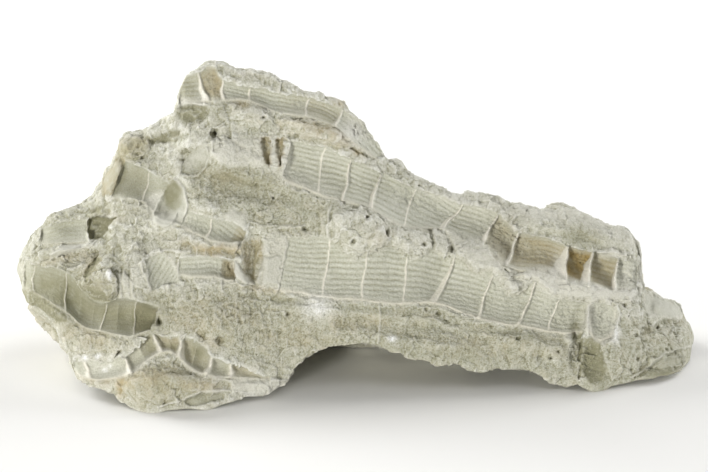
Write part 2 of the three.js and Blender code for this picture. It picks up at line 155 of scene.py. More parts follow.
# %% Large relief
RELIEF = [
    # the crust between the two long moulds
    (363, 226, 40, 22, 8, -2.4), (342, 222, 11, 12, 0, -0.9), (384, 238, 14, 10, 0, -0.8),
    (420, 242, 22, 12, 15, -1.7), (478, 256, 26, 13, 15, -2), (545, 282, 60, 14, 8, -1.8),
    (506, 288, 12, 10, 0, -0.8),
    # the crust below the crest
    (318, 128, 34, 12, 20, -1.6), (250, 118, 20, 10, 15, -0.9), (215, 152, 30, 14, 15, -0.8),
    # the head of the lower mould: a pale block, and a hollow beside it
    (254, 260, 10, 25, 0, 1.9),
    # the left part: dish, bowl, lumps and ledges
    (195, 161, 16, 15, 0, 1.8), (169, 199, 15, 18, 10, 2.2), (100, 277, 23, 21, 20, -2.8),
    (132, 268, 15, 26, 10, -1), (68, 249, 34, 6, -8, -1.5), (99, 229, 12, 11, -30, 0.8),
    (190, 113, 17, 10, 0, 1.9), (134, 148, 22, 8, -15, -1.8), (165, 136, 18, 6, -15, 1),
    (240, 188, 54, 11, 12, 1), (206, 206, 20, 7, 10, -1), (160, 226, 16, 8, 0, -1),
    (218, 253, 26, 4, 3, 0.5), (224, 245, 22, 4, 5, -0.5),
    # the left foot
    (160, 386, 44, 15, -3, -2.2), (262, 387, 28, 7, -8, -1.6), (106, 368, 8, 14, 0, 1),
    (200, 396, 20, 7, 0, 1.1),
    # below the lower mould
    (318, 310, 24, 14, 0, -1), (400, 328, 70, 9, 8, 0.9), (440, 340, 22, 10, 10, -0.9),
    (350, 334, 20, 7, 0, -0.7), (520, 342, 26, 10, 5, -1.1), (228, 322, 24, 18, 0, -0.8),
    (556, 352, 12, 12, 0, -0.9),
    # the right end: crevice, lobe behind the end face, slab under it
    (577, 342, 6, 26, 8, 1.3), (592, 360, 11, 18, 0, 1.1), (618, 352, 20, 20, 0, -1.2),
    (648, 303, 6, 12, 0, 0.3), (667, 306, 16, 10, 12, -1.2), (664, 326, 22, 5, -14, 1),
    (668, 364, 26, 7, -12, 1.8), (606, 232, 26, 10, 15, -1.2), (548, 224, 30, 8, 5, -0.9),
]


def spots(rows, across, down, sharp=2):
    """The sum of flat-topped bells, one for each (across, down, rx, ry, turn, height)."""
    total = np.zeros(np.shape(across))
    for x, y, rx, ry, turn, height in rows:
        angle = math.radians(turn)
        dx, dy = across - x, down - y
        a = (dx * math.cos(angle) + dy * math.sin(angle)) / rx
        b = (dy * math.cos(angle) - dx * math.sin(angle)) / ry
        total = total + height * np.exp(-((a * a + b * b) ** sharp))
    return total


SOFT_STEPS = range(-8, 9, 2)  # sheet units that the outline is averaged over for the depth
RELIEF_FADE = 8  # the relief fades over an eighth of the height at the outline


def soft_look_up(pairs, at):
    """Values as look_up reads them, but averaged over neighbouring places."""
    return sum(look_up(pairs, at + step) for step in SOFT_STEPS) / len(SOFT_STEPS)


def face_depth(across, down):
    """Depth of the face behind the sheet, with its large relief."""
    top, foot = soft_look_up(UPPER_OUTLINE, across), soft_look_up(LOWER_OUTLINE, across)
    up = np.clip((foot - down) / (foot - top), 0, 1)
    edges = lerp(look_up(DEPTH_AT_FOOT, across), look_up(DEPTH_AT_TOP, across), up)
    inside = np.minimum(1, np.minimum(up, 1 - up) * RELIEF_FADE)
    swell = np.sqrt(np.sin(np.pi * up).clip(0)) * look_up(BELLY, across)
    return edges - swell + spots(RELIEF, across, down) * inside


print("large relief:", len(RELIEF), "bells")

# %% [markdown]
# ## Crisp forms
# Broken limestone also has crisp forms: slabs, facets, domes of crust, hollows with sharp rims.
# Each row below is one of them, as a polygon on the sheet. The form rises (minus) or sinks (plus)
# steeply at the polygon's edge and levels off over the given width. The same rows carry paint:
# brown stain, olive (partly a greenish stain, partly painted shade in hollows, crevices and under
# overhangs), chalky white, a smooth skin, and the darker, grainier matrix.

# %% Crisp forms
# (height in mm, width of the edge in sheet units, paint, polygon)
PLATES = [
    # knob and crest
    (-0.5, 2, {"chalk": 0.7}, [(177, 99), (183, 98), (205, 101), (210, 103), (206, 106),
     (178, 106)]),
    # olive here is painted shade under the knob's lip
    (-0.5, 5, {"olive": 0.7}, [(178, 107), (206, 107), (209, 112), (197, 122), (184, 124)]),
    (-0.5, 5, {"stain": 0.1}, [(227, 104), (240, 102), (262, 103), (272, 110), (274, 120),
     (262, 125), (245, 121), (232, 114)]),
    (-0.7, 5, {"stain": 0.25}, [(277, 118), (305, 118), (330, 126), (345, 134), (353, 146),
     (335, 148), (318, 141), (300, 137), (284, 133), (275, 127)]),
    (-0.45, 9, {"chalk": 0.5}, [(209, 148), (225, 138), (262, 137), (266, 166), (250, 168),
     (230, 166), (210, 158)]),
    (1.3, 1.5, {"stain": 0.9, "olive": 0.3}, [(262, 138), (271, 136), (272, 150), (270, 167),
     (264, 163), (261, 149)]),
    (1.1, 1.5, {"stain": 0.9, "olive": 0.3}, [(276, 139), (285, 138), (285, 150), (282, 165),
     (278, 169), (276, 152)]),
    # olive here is painted shade in the hollow under the ledge of the band above
    (0.15, 6, {"olive": 0.2}, [(205, 166), (245, 166), (266, 169), (282, 181), (270, 192),
     (240, 184), (212, 179)]),
    # left shoulder
    (-0.35, 2, {"olive": 0.3, "stain": 0.25}, [(117, 152), (121, 139), (134, 135), (148, 138),
     (151, 150), (140, 157), (124, 158)]),
    (0.3, 3, {"olive": 0.4}, [(150, 141), (165, 133), (180, 130), (182, 136), (165, 142),
     (152, 147)]),
    (-0.9, 6, {"smooth": 0.8, "stain": 1.6, "olive": 0.2}, [(102, 183), (104, 168), (111, 161),
     (120, 158), (124, 168), (121, 181), (112, 193), (104, 193)]),
    (0.2, 3, {"stain": 1.6, "olive": 0.4}, [(121, 159), (126, 164), (127, 172), (123, 184),
     (114, 195), (111, 193), (119, 182), (123, 170)]),
    (-0.6, 9, {"smooth": 0.7}, [(182, 172), (184, 160), (192, 152), (203, 146), (209, 150),
     (209, 161), (203, 170), (193, 176)]),
    (-0.3, 8, {"smooth": 0.9}, [(147, 200), (158, 192), (174, 181), (183, 189), (187, 205),
     (184, 222), (168, 228), (154, 223), (149, 211)]),
    (-0.4, 3, {"chalk": 1}, [(147, 200), (157, 192), (165, 189), (164, 203), (159, 212),
     (150, 208)]),
    (0.2, 6, {"olive": 0.6}, [(164, 190), (174, 182), (181, 190), (183, 204), (175, 211),
     (166, 205)]),
    (-0.6, 3, {"chalk": 1.4}, [(152, 211), (156, 214), (163, 212), (168, 216), (174, 213),
     (179, 210), (179, 220), (172, 226), (163, 228), (155, 223)]),
    # far left
    (1.5, 2.5, {"olive": 1}, [(88, 218), (97, 215), (108, 217), (117, 217), (113, 224), (107, 231),
     (104, 239), (97, 241), (90, 240), (87, 230)]),
    (-0.5, 3, {"olive": 0.45}, [(86, 213), (98, 207), (109, 211), (106, 217), (90, 219)]),
    (-0.6, 3, {"chalk": 1.1, "smooth": 0.4}, [(48, 254), (62, 247), (86, 243), (97, 243),
     (88, 249), (66, 255), (50, 260)]),
    (-0.4, 3, {"chalk": 0.1}, [(38, 262), (62, 256), (92, 249), (84, 262), (76, 274), (62, 268)]),
    (1.3, 4, {"stain": 0.6, "olive": 1}, [(84, 277), (88, 266), (93, 258), (99, 253), (101, 259),
     (97, 268), (91, 275), (86, 282)]),
    (-1.2, 2, {"stain": 0.25, "olive": 0.3}, [(79, 284), (84, 279), (96, 271), (111, 270),
     (117, 280), (117, 292), (111, 299), (96, 299), (84, 291)]),
    (-0.5, 1.5, {"chalk": 0.5}, [(79, 283), (84, 275), (90, 273), (90, 280), (83, 286)]),
    (-0.3, 0.5, {"crystal": 1.2}, [(107, 274), (111, 273), (111, 281), (109, 280)]),
    (-0.3, 2, {"chalk": 0.6}, [(118, 276), (124, 270), (133, 282), (137, 299), (119, 298)]),
    (-0.25, 2, {"chalk": 0.35}, [(129, 268), (141, 264), (150, 290), (147, 300), (138, 298),
     (132, 282)]),
    (-0.3, 3, {"olive": 0.8, "matrix": 0.8}, [(22, 290), (38, 294), (52, 304), (66, 318),
     (56, 322), (38, 309), (26, 301)]),
    # between the small moulds
    (-0.3, 5, {"chalk": 0.6, "smooth": 0.4}, [(224, 214), (232, 209), (245, 214), (248, 226),
     (240, 227), (228, 222)]),
    (0.05, 7, {"stain": 0.35}, [(192, 248), (200, 245), (211, 248), (222, 243), (240, 246),
     (246, 253), (237, 260), (226, 255), (212, 259), (199, 254)]),
    (0, 6, {"stain": 0.45, "matrix": 0.5}, [(243, 242), (252, 237), (262, 241), (264, 255),
     (258, 268), (257, 281), (251, 283), (243, 272), (240, 258)]),
    (0.3, 3, {"stain": 0.7, "olive": 0.4}, [(252, 243), (259, 242), (259, 256), (256, 268),
     (256, 281), (251, 281), (252, 262)]),
    (-0.15, 3, {"chalk": 0.5, "smooth": 0.1}, [(262, 240), (272, 230), (288, 236), (287, 252),
     (283, 272), (279, 289), (262, 289), (256, 284), (259, 268), (265, 256)]),
    (-0.3, 2, {"chalk": 0.6, "smooth": 0.5}, [(263, 257), (283, 256), (278, 284), (262, 286)]),
    (-0.5, 1.5, {"chalk": 1, "smooth": 0.5}, [(228, 260), (236, 260), (247, 275), (254, 285),
     (245, 284), (236, 276)]),
    # crust between the two long moulds
    (-0.7, 7, {"chalk": 0.15}, [(331, 208), (350, 206), (368, 210), (384, 222), (392, 236),
     (386, 250), (368, 254), (345, 246), (331, 240)]),
    (-0.6, 6, {"chalk": 0.2}, [(392, 226), (412, 225), (430, 232), (434, 245), (428, 256),
     (408, 255), (393, 250)]),
    (-0.45, 4, {"chalk": 0.3}, [(433, 229), (447, 233), (452, 245), (448, 256), (437, 254),
     (433, 243)]),
    (-0.7, 7, {"chalk": 0.35}, [(444, 228), (470, 235), (488, 245), (505, 263), (502, 274),
     (478, 272), (456, 260)]),
    (-0.5, 6, {"chalk": 0.3}, [(492, 266), (505, 264), (520, 270), (532, 274), (526, 288),
     (515, 298), (503, 292), (495, 280)]),
    (-0.8, 6, {"chalk": 0.55}, [(515, 274), (530, 267), (541, 265), (556, 270), (570, 279),
     (590, 282), (606, 288), (634, 288), (634, 302), (606, 301), (575, 301), (552, 296),
     (536, 281)]),
    (-0.3, 6, {"smooth": 0.2}, [(520, 200), (560, 200), (590, 205), (620, 215), (655, 240),
     (655, 258), (618, 252), (590, 248), (560, 240), (535, 233), (515, 222)]),
    (-0.5, 1.5, {"chalk": 0.7}, [(596, 251), (612, 247), (630, 252), (622, 258), (600, 257)]),
    # below the lower mould
    (0.25, 3, {"matrix": 0.3, "olive": 0.15}, [(240, 291), (300, 298), (380, 305), (437, 308),
     (470, 322), (520, 329), (552, 336), (590, 343), (590, 350), (550, 345), (515, 338),
     (465, 332), (430, 318), (380, 314), (300, 306), (240, 300)]),
    # left foot
    (-0.35, 2, {"chalk": 0.55}, [(232, 380), (262, 380), (288, 384), (286, 390), (262, 396),
     (240, 396), (229, 389)]),
    (-0.4, 5, {"matrix": 0.5}, [(132, 366), (160, 362), (175, 361), (195, 375), (205, 386),
     (200, 398), (170, 402), (140, 402), (124, 392), (122, 376)]),
    (0.7, 2, {"smooth": 0.6, "olive": 0.3}, [(183, 402), (198, 394), (211, 392), (228, 392),
     (224, 400), (206, 404), (190, 407)]),
    (-0.3, 4, {"matrix": 0.4}, [(72, 332), (100, 334), (128, 340), (122, 352), (104, 352),
     (84, 352), (72, 350)]),
    # right end
    (0.35, 3, {"olive": 0.8}, [(570, 326), (576, 322), (583, 334), (578, 341), (573, 336)]),
    (0.3, 6, {"olive": 1, "matrix": 0.2}, [(581, 338), (593, 338), (600, 345), (603, 358),
     (606, 368), (603, 380), (590, 384), (583, 372), (579, 360), (580, 348)]),
    (-0.4, 4, {"chalk": 0.4}, [(563, 334), (571, 333), (576, 345), (577, 360), (569, 352)]),
    (-0.4, 3, {}, [(598, 302), (640, 297), (643, 330), (640, 372), (612, 382), (602, 356)]),
    (0, 6, {"smooth": 1}, [(644, 295), (660, 299), (676, 305), (683, 314), (672, 317), (655, 316),
     (645, 311)]),
    (0.3, 3, {"olive": 0.2}, [(645, 352), (660, 346), (690, 349), (692, 356), (678, 371),
     (655, 377), (640, 378), (634, 373), (645, 362)]),
    (-0.7, 3, {"smooth": 0.6}, [(650, 357), (682, 353), (681, 366), (660, 370), (648, 367)]),
]
# the grainier matrix between and below the moulds: paint only
MATRIX = [
    [(140, 330), (180, 300), (240, 290), (300, 297), (380, 304), (437, 307), (470, 321), (520,
     328), (552, 334), (590, 342), (645, 318), (695, 320), (695, 375), (600, 395), (540, 378),
     (440, 370), (380, 350), (330, 350), (290, 375), (265, 372), (232, 355), (215, 335), (190,
     330), (160, 328)],
    [(205, 165), (262, 170), (300, 192), (330, 205), (322, 236), (290, 236), (262, 230), (244,
     215), (215, 205), (190, 200), (188, 178)],
    [(563, 226), (600, 228), (604, 248), (570, 244)],
    [(150, 296), (180, 288), (240, 290), (180, 300), (165, 325), (152, 310)],
]
print("crisp forms:", len(PLATES), "patches of matrix:", len(MATRIX))

# %% [markdown]
# ## How far inside a form
# A crisp form rises with the distance from its polygon's edge. One function measures it, with a
# minus sign outside: a place is inside where a line across from it crosses the polygon's edges an
# odd number of times. A second function adds up all the forms and their paint.

# %% Relief of the crisp forms
PAINT_EDGE, MATRIX_EDGE = 4, 10  # sheet units over which the paint at a polygon's edge fades


def signed_distance(polygon, across, down):
    """How far inside a polygon places are: negative outside."""
    nearest = np.full(np.shape(across), 1e9)
    inside = np.zeros(np.shape(across), bool)
    for (x0, y0), (x1, y1) in zip(polygon, polygon[1:] + polygon[:1]):
        dx, dy = x1 - x0, y1 - y0
        along = ((across - x0) * dx + (down - y0) * dy) / (dx * dx + dy * dy)
        along = np.clip(along, 0, 1)
        away = np.hypot(across - x0 - along * dx, down - y0 - along * dy)
        nearest = np.minimum(nearest, away)
        if y0 != y1:
            crosses = ((y0 > down) != (y1 > down)) & (across < x0 + (down - y0) * dx / dy)
            inside ^= crosses
    return np.where(inside, nearest, -nearest)


def plate_relief(across, down, edge_noise):
    """Relief of all the crisp forms, with their edges made ragged, and their paint."""
    total = np.zeros(np.shape(across))
    names = ("stain", "olive", "chalk", "matrix", "smooth", "crystal")
    paint = {name: np.zeros(np.shape(across)) for name in names}
    for height, width, colours, polygon in PLATES:
        inside = signed_distance(polygon, across, down) + edge_noise
        step = np.clip(inside / width, 0, 1)
        total = total + height * (1 - (1 - step) ** 2)
        soft = np.clip(0.5 + inside / PAINT_EDGE, 0, 1)
        for name, amount in colours.items():
            paint[name] = np.maximum(paint[name], amount * soft)
    for polygon in MATRIX:
        inside = signed_distance(polygon, across, down) + 2 * edge_noise
        paint["matrix"] = np.maximum(paint["matrix"], np.clip(0.5 + inside / MATRIX_EDGE, 0, 1))
    return total, paint


SQUARE = [(0, 0), (10, 0), (10, 10), (0, 10)]
middle_of_square = signed_distance(SQUARE, np.array([5]), np.array([5])).item()
print("the middle of a square of 10 is", middle_of_square, "inside its edge")

# %% [markdown]
# ## Fine relief
# The smallest forms with a place of their own are pits where grains fell out, cracks and thin
# ledges. Pits are bells again. A crack or a ledge runs along a few points, so its relief depends
# on how far a place is from that line, and a thin ledge may be chalky. The line wiggles a little.

# %% Fine relief
PITS = [
    (215, 133, 3, 3.4, 20, 2.6), (221, 144, 2, 1.6, 0, 1), (386, 233, 2.6, 4, 10, 2.6),
    (452, 252, 2.2, 5, 5, 2.6), (367, 218, 2, 2.2, 0, 1.2), (354, 241, 2, 2.2, 0, 1.1),
    (424, 245, 2, 2, 0, 1.1), (430, 232, 1.8, 2, 0, 1), (305, 229, 2.2, 1.8, 0, 1.5),
    (405, 186, 1.8, 1.6, 0, 0.9), (412, 183, 1.6, 1.8, 0, 0.9), (418, 187, 2, 1.6, 0, 0.9),
    (273, 198, 2, 2, 0, 1.1), (288, 314, 1.8, 1.8, 0, 0.9), (220, 340, 3.6, 2, 0, 1),
    (138, 153, 2.2, 1.6, 0, 1), (142, 157, 1.8, 1.6, 0, 0.9), (159, 320, 2, 3, 0, 1.6),
    (103, 271, 1.6, 1.6, 0, 0.9), (263, 118, 2, 1.4, 0, 1), (339, 104, 1.8, 1.8, 0, 1),
    (362, 141, 1.8, 1.6, 0, 1), (504, 283, 1.8, 2, 0, 1.1), (509, 290, 1.8, 1.8, 0, 1),
    (503, 293, 1.6, 1.6, 0, 0.9), (625, 305, 1.8, 1.8, 0, 0.9), (637, 336, 1.8, 1.8, 0, 0.9),
    (638, 358, 1.8, 2, 0, 0.9), (649, 323, 1.8, 1.6, 0, 0.9), (657, 328, 1.8, 1.6, 0, 0.8),
    (551, 358, 2.2, 1.8, 0, 1), (558, 352, 1.8, 1.8, 0, 0.9), (519, 338, 2, 1.6, 0, 0.9),
    (222, 68, 1.4, 1.4, 0, 0.6), (184, 159, 1.6, 2.4, 30, 0.6), (350, 238, 5, 1.6, -30, 0.6),
    (372, 236, 5, 1.4, -35, 0.6), (438, 314, 2, 1.4, 0, 0.8), (447, 321, 2.6, 1.2, 20, 0.8),
]
# (points, half width in sheet units, mm raised (-) or sunk (+), chalkiness)
LINES = [
    ([(35, 261), (60, 257), (90, 246)], 1.6, 0.4, 0),
    ([(592, 301), (588, 312), (587, 328), (592, 339), (601, 343), (610, 339), (616, 330)], 4,
     -0.45, 1.2),
    ([(87, 221), (89, 241)], 1.2, -0.6, 0.9),
    ([(50, 254), (68, 250), (90, 243)], 1.2, -0.35, 0.6),
    ([(98, 254), (91, 264), (80, 279)], 4.5, 0.8, 0),
    ([(120, 352), (116, 358), (111, 367)], 1.5, 1.6, 0),
    ([(118, 380), (122, 386), (121, 393)], 1.6, 0.4, 0),
    ([(350, 149), (357, 152), (366, 156)], 2, 0.8, 0),
    ([(379, 303), (380, 320), (378, 344)], 1.1, -0.3, 0.6),
    ([(572, 322), (574, 330), (573, 337)], 1.8, 0.9, 0),
    ([(581, 343), (580, 352), (579, 360)], 1.6, 0.9, 0),
    ([(581, 366), (580, 372), (579, 378)], 1.4, 0.6, 0),
    ([(633, 380), (645, 373), (655, 363), (665, 356), (677, 352), (690, 349)], 1.6, 0.5, 0),
    ([(633, 377), (645, 370), (655, 360), (665, 353), (677, 349), (690, 346)], 1.4, -0.35, 0.8),
    ([(648, 313), (658, 317), (670, 318), (682, 314)], 1.6, -0.2, 0.8),
    ([(597, 254), (612, 251), (626, 255)], 1.8, -0.6, 0.7),
    ([(505, 270), (510, 274), (518, 272)], 1.6, 0.9, 0),
    ([(456, 258), (460, 268), (458, 276)], 1.4, 0.6, 0),
    ([(178, 103), (190, 101), (206, 103)], 2, -0.6, 0.8),
    ([(141, 262), (146, 275), (150, 289)], 1.5, -0.5, 1),
    ([(130, 262), (129, 280), (131, 298)], 1, 0.3, 0),
    ([(122, 268), (121, 282), (124, 296)], 1, 0.3, 0),
    ([(141, 261), (152, 254), (164, 251), (190, 250)], 1.2, -0.4, 0.7),
    ([(160, 252), (171, 260), (179, 275)], 1.8, -0.5, 1),
    ([(174, 180), (183, 189), (187, 205), (185, 222)], 1.3, -0.6, 0.8),
    ([(146, 205), (158, 216), (176, 224), (190, 229)], 1.2, -0.4, 0.7),
    ([(180, 174), (188, 177), (198, 176), (205, 168), (209, 158), (207, 150)], 1.3, -0.5, 0.7),
    ([(318, 212), (320, 222), (319, 236)], 1.4, 0.2, 0),
    ([(331, 206), (328, 212), (327, 226), (329, 240)], 1.4, -0.5, 0.8),
    ([(612, 325), (616, 336), (620, 346)], 1, -0.3, 0.7),
    ([(286, 240), (283, 262), (278, 289)], 1.3, -0.15, 0.9),
    ([(264, 256), (262, 270), (257, 283)], 1.1, -0.4, 0.7),
    ([(270, 230), (286, 228), (304, 226)], 1.2, -0.3, 0.5),
    ([(212, 141), (212, 150), (210, 164)], 1.2, -0.4, 0.6),
    ([(245, 230), (250, 222), (262, 226), (290, 227)], 1.2, -0.3, 0.5),
    ([(391, 158), (404, 164), (416, 180)], 1.2, -0.3, 0.5),
    ([(433, 230), (438, 244), (434, 256)], 1.1, -0.4, 0.6),
    ([(206, 376), (230, 380), (262, 379), (288, 382)], 1.3, -0.5, 0.8),
    ([(120, 377), (137, 368), (152, 358), (160, 352), (168, 349), (177, 354), (190, 367),
     (206, 376)], 1.9, -0.4, 0.8),
    ([(158, 407), (183, 400), (198, 392), (211, 390), (228, 390), (250, 394)], 1.2, -0.4, 0.6),
    ([(641, 258), (642, 275), (641, 292)], 1.4, -0.4, 0.7),
    ([(592, 304), (588, 318), (590, 332), (598, 340), (610, 338), (616, 328), (620, 314),
     (617, 304), (606, 300)], 1.4, -0.3, 0.6),
]


LINE_REACH = 9  # sheet units to both sides of a line that its relief is worked out for


def line_relief(rows, across, down, wiggle):
    """Ridges and grooves that follow lines of points, and their chalkiness."""
    total, chalky = np.zeros(across.shape), np.zeros(across.shape)
    for points, half_width, height, chalk in rows:
        xs = [x for x, y in points]
        ends = [min(xs) - LINE_REACH, max(xs) + LINE_REACH]
        first, last = np.searchsorted(across[:, 0], ends)
        x, y = across[first:last], down[first:last] + wiggle[first:last]
        nearest = np.full(x.shape, 1e9)
        for (x0, y0), (x1, y1) in zip(points, points[1:]):
            dx, dy = x1 - x0, y1 - y0
            along = np.clip(((x - x0) * dx + (y - y0) * dy) / (dx * dx + dy * dy), 0, 1)
            nearest = np.minimum(nearest, np.hypot(x - x0 - along * dx, y - y0 - along * dy))
        bell = np.exp(-((nearest / half_width) ** 2))
        total[first:last] += height * bell
        chalky[first:last] = np.maximum(chalky[first:last], chalk * bell)
    return total, chalky


print("pits:", len(PITS), "lines:", len(LINES))

# %% [markdown]
# ## Noise
# Stone needs unevenness at many sizes. Lumpy noise comes from a lattice of scattered values with
# smooth steps between them, and smaller lumps laid on larger ones look like broken rock. Chips are
# cellular: each place takes its height from the tilted facet of the nearest of many scattered
# seed points. Spots sit in only some of the cells. All use one seeded generator, so that the
# stone comes out the same each time.

# %% Noise
LATTICE = 48  # cells before the scattered values repeat
TURN = np.array([[0.36, 0.48, -0.8], [-0.8, 0.6, 0.0], [0.48, 0.64, 0.6]])  # a rotation
WEAKENING = 0.62  # of each octave against the one before
SPOT_SIZE = 0.3  # radius of a spot, as a share of its cell
rng = np.random.default_rng(11)
lattice_values = rng.random((LATTICE, LATTICE, LATTICE))
lattice_seeds = rng.random((LATTICE, LATTICE, LATTICE, 3))
print("lattice of", lattice_values.size, "values, mean", round(float(lattice_values.mean()), 3))


def smooth_noise(points, size):
    """Smoothly varying values from -1 to 1, with lumps of the given size in mm."""
    at = points @ TURN / size  # turned, so that no lattice line lies along the block
    cell = np.floor(at).astype(int)
    f = at - cell
    f = f * f * (3 - 2 * f)
    total = 0
    for i in (0, 1):
        for j in (0, 1):
            for k in (0, 1):
                weight = np.abs(1 - i - f[..., 0]) * np.abs(1 - j - f[..., 1])
                weight = weight * np.abs(1 - k - f[..., 2])
                c = (cell + [i, j, k]) % LATTICE
                total = total + weight * lattice_values[c[..., 0], c[..., 1], c[..., 2]]
    return 2 * total - 1


def fractal(points, size, octaves):
    """Smooth noise with ever smaller, weaker lumps on it."""
    layers = (smooth_noise(points + 9 * k, size / 2**k) * WEAKENING**k for k in range(octaves))
    return sum(layers)


def scatter(points, size, share):
    """Small round spots, one in some of the cells: 1 at their middle, 0 outside them."""
    at = points @ TURN / size
    cell = np.floor(at).astype(int)
    w = cell % LATTICE
    seed = 0.25 + 0.5 * lattice_seeds[w[..., 0], w[..., 1], w[..., 2]]
    distance = np.linalg.norm(at - cell - seed, axis=-1)
    there = lattice_values[w[..., 0], w[..., 1], w[..., 2]] < share
    return there * np.clip(1 - distance / SPOT_SIZE, 0, 1)


def chips(points, size):
    """Broken chips: each cell is a flat facet with its own tilt and level, about -1 to 1."""
    cell = np.floor(points / size).astype(int)
    best = np.full(points.shape[:-1], 9.0)
    height = np.zeros(points.shape[:-1])
    for i in (-1, 0, 1):
        for j in (-1, 0, 1):
            for k in (-1, 0, 1):
                c = cell + [i, j, k]
                w = c % LATTICE
                seed = lattice_seeds[w[..., 0], w[..., 1], w[..., 2]]
                away = points / size - c - seed
                distance = (away * away).sum(axis=-1)
                tilt = 2 * lattice_seeds[w[..., 2], w[..., 0], w[..., 1]] - 1
                facet = (away * tilt).sum(axis=-1) + 0.5 * (tilt[..., 0] * tilt[..., 1])
                nearer = distance < best
                best = np.where(nearer, distance, best)
                height = np.where(nearer, facet, height)
    return height


# %% [markdown]
# ## Broad wear
# The block's broad unevenness is a sum of slanted waves, which has no visible direction. It is
# slight on the face and strong on the back, where the block broke from its bed.

# %% Broad wear
WAVES = [
    (0.91, 0.32, 0.27, 0.4), (-0.43, 0.79, 0.44, 1.3), (0.24, -0.58, 0.78, 2.1),
    (0.68, 0.49, -0.54, 4.0), (-0.77, 0.18, -0.61, 5.2), (0.12, 0.93, -0.35, 3.1),
]
WEAR_LENGTH = 7  # mm between bumps
WEAR_ON_FACE, WEAR_ON_BACK = 0.16, 0.3  # mm
WEAR_RISE = 0.6  # share of the wear that also lifts or lowers a point
FLOOR_FADE = 3  # mm above the floor over which that lift grows
BACK_LUMPS, LUMP_MEAN = 3.2, 0.4  # mm that they stand out, and their usual height in waves


def bumps(points, length, turn):
    """Slanted waves added up, about -1 to 1."""
    k = 2 * np.pi / length
    total = 0
    for x, y, z, start in WAVES:
        total = total + np.sin(k * (points @ np.array([x, y, z])) + start * turn)
    return total / 3


def weather(points, behind):
    """Moves points by the broad wear; behind is 0 on the face and up to 1 on the back."""
    small = bumps(points, WEAR_LENGTH, 1) + 0.5 * bumps(points, WEAR_LENGTH * 0.45, 2)
    broad = np.abs(bumps(points, WEAR_LENGTH * 3.4, 3))
    broad = broad + 0.3 * bumps(points, WEAR_LENGTH * 1.6, 4)
    size = lerp(WEAR_ON_FACE, WEAR_ON_BACK, behind) * small
    size = size + BACK_LUMPS * behind * (broad - LUMP_MEAN)
    moved = points.copy()
    moved[..., 1] += size
    moved[..., 2] += size * WEAR_RISE * np.minimum(1, np.abs(points[..., 2]) / FLOOR_FADE)
    return moved


print("wear in mm, face and back:", WEAR_ON_FACE, WEAR_ON_BACK, "lumps:", BACK_LUMPS)

# %% [markdown]
# ## The corallites
# Each hollow tube is given by cross lines from its upper to its lower rim. A cross line also
# holds the tube's depth there, the height of the tabula that stands on it (0 where there is
# none), how far the tabula's foot spreads to its left (to its right where negative), which
# septal ribs the two rims meet, counted from the top of the tube, and how brown the chamber to
# its right is. Everything else about a tube follows from its cross lines.

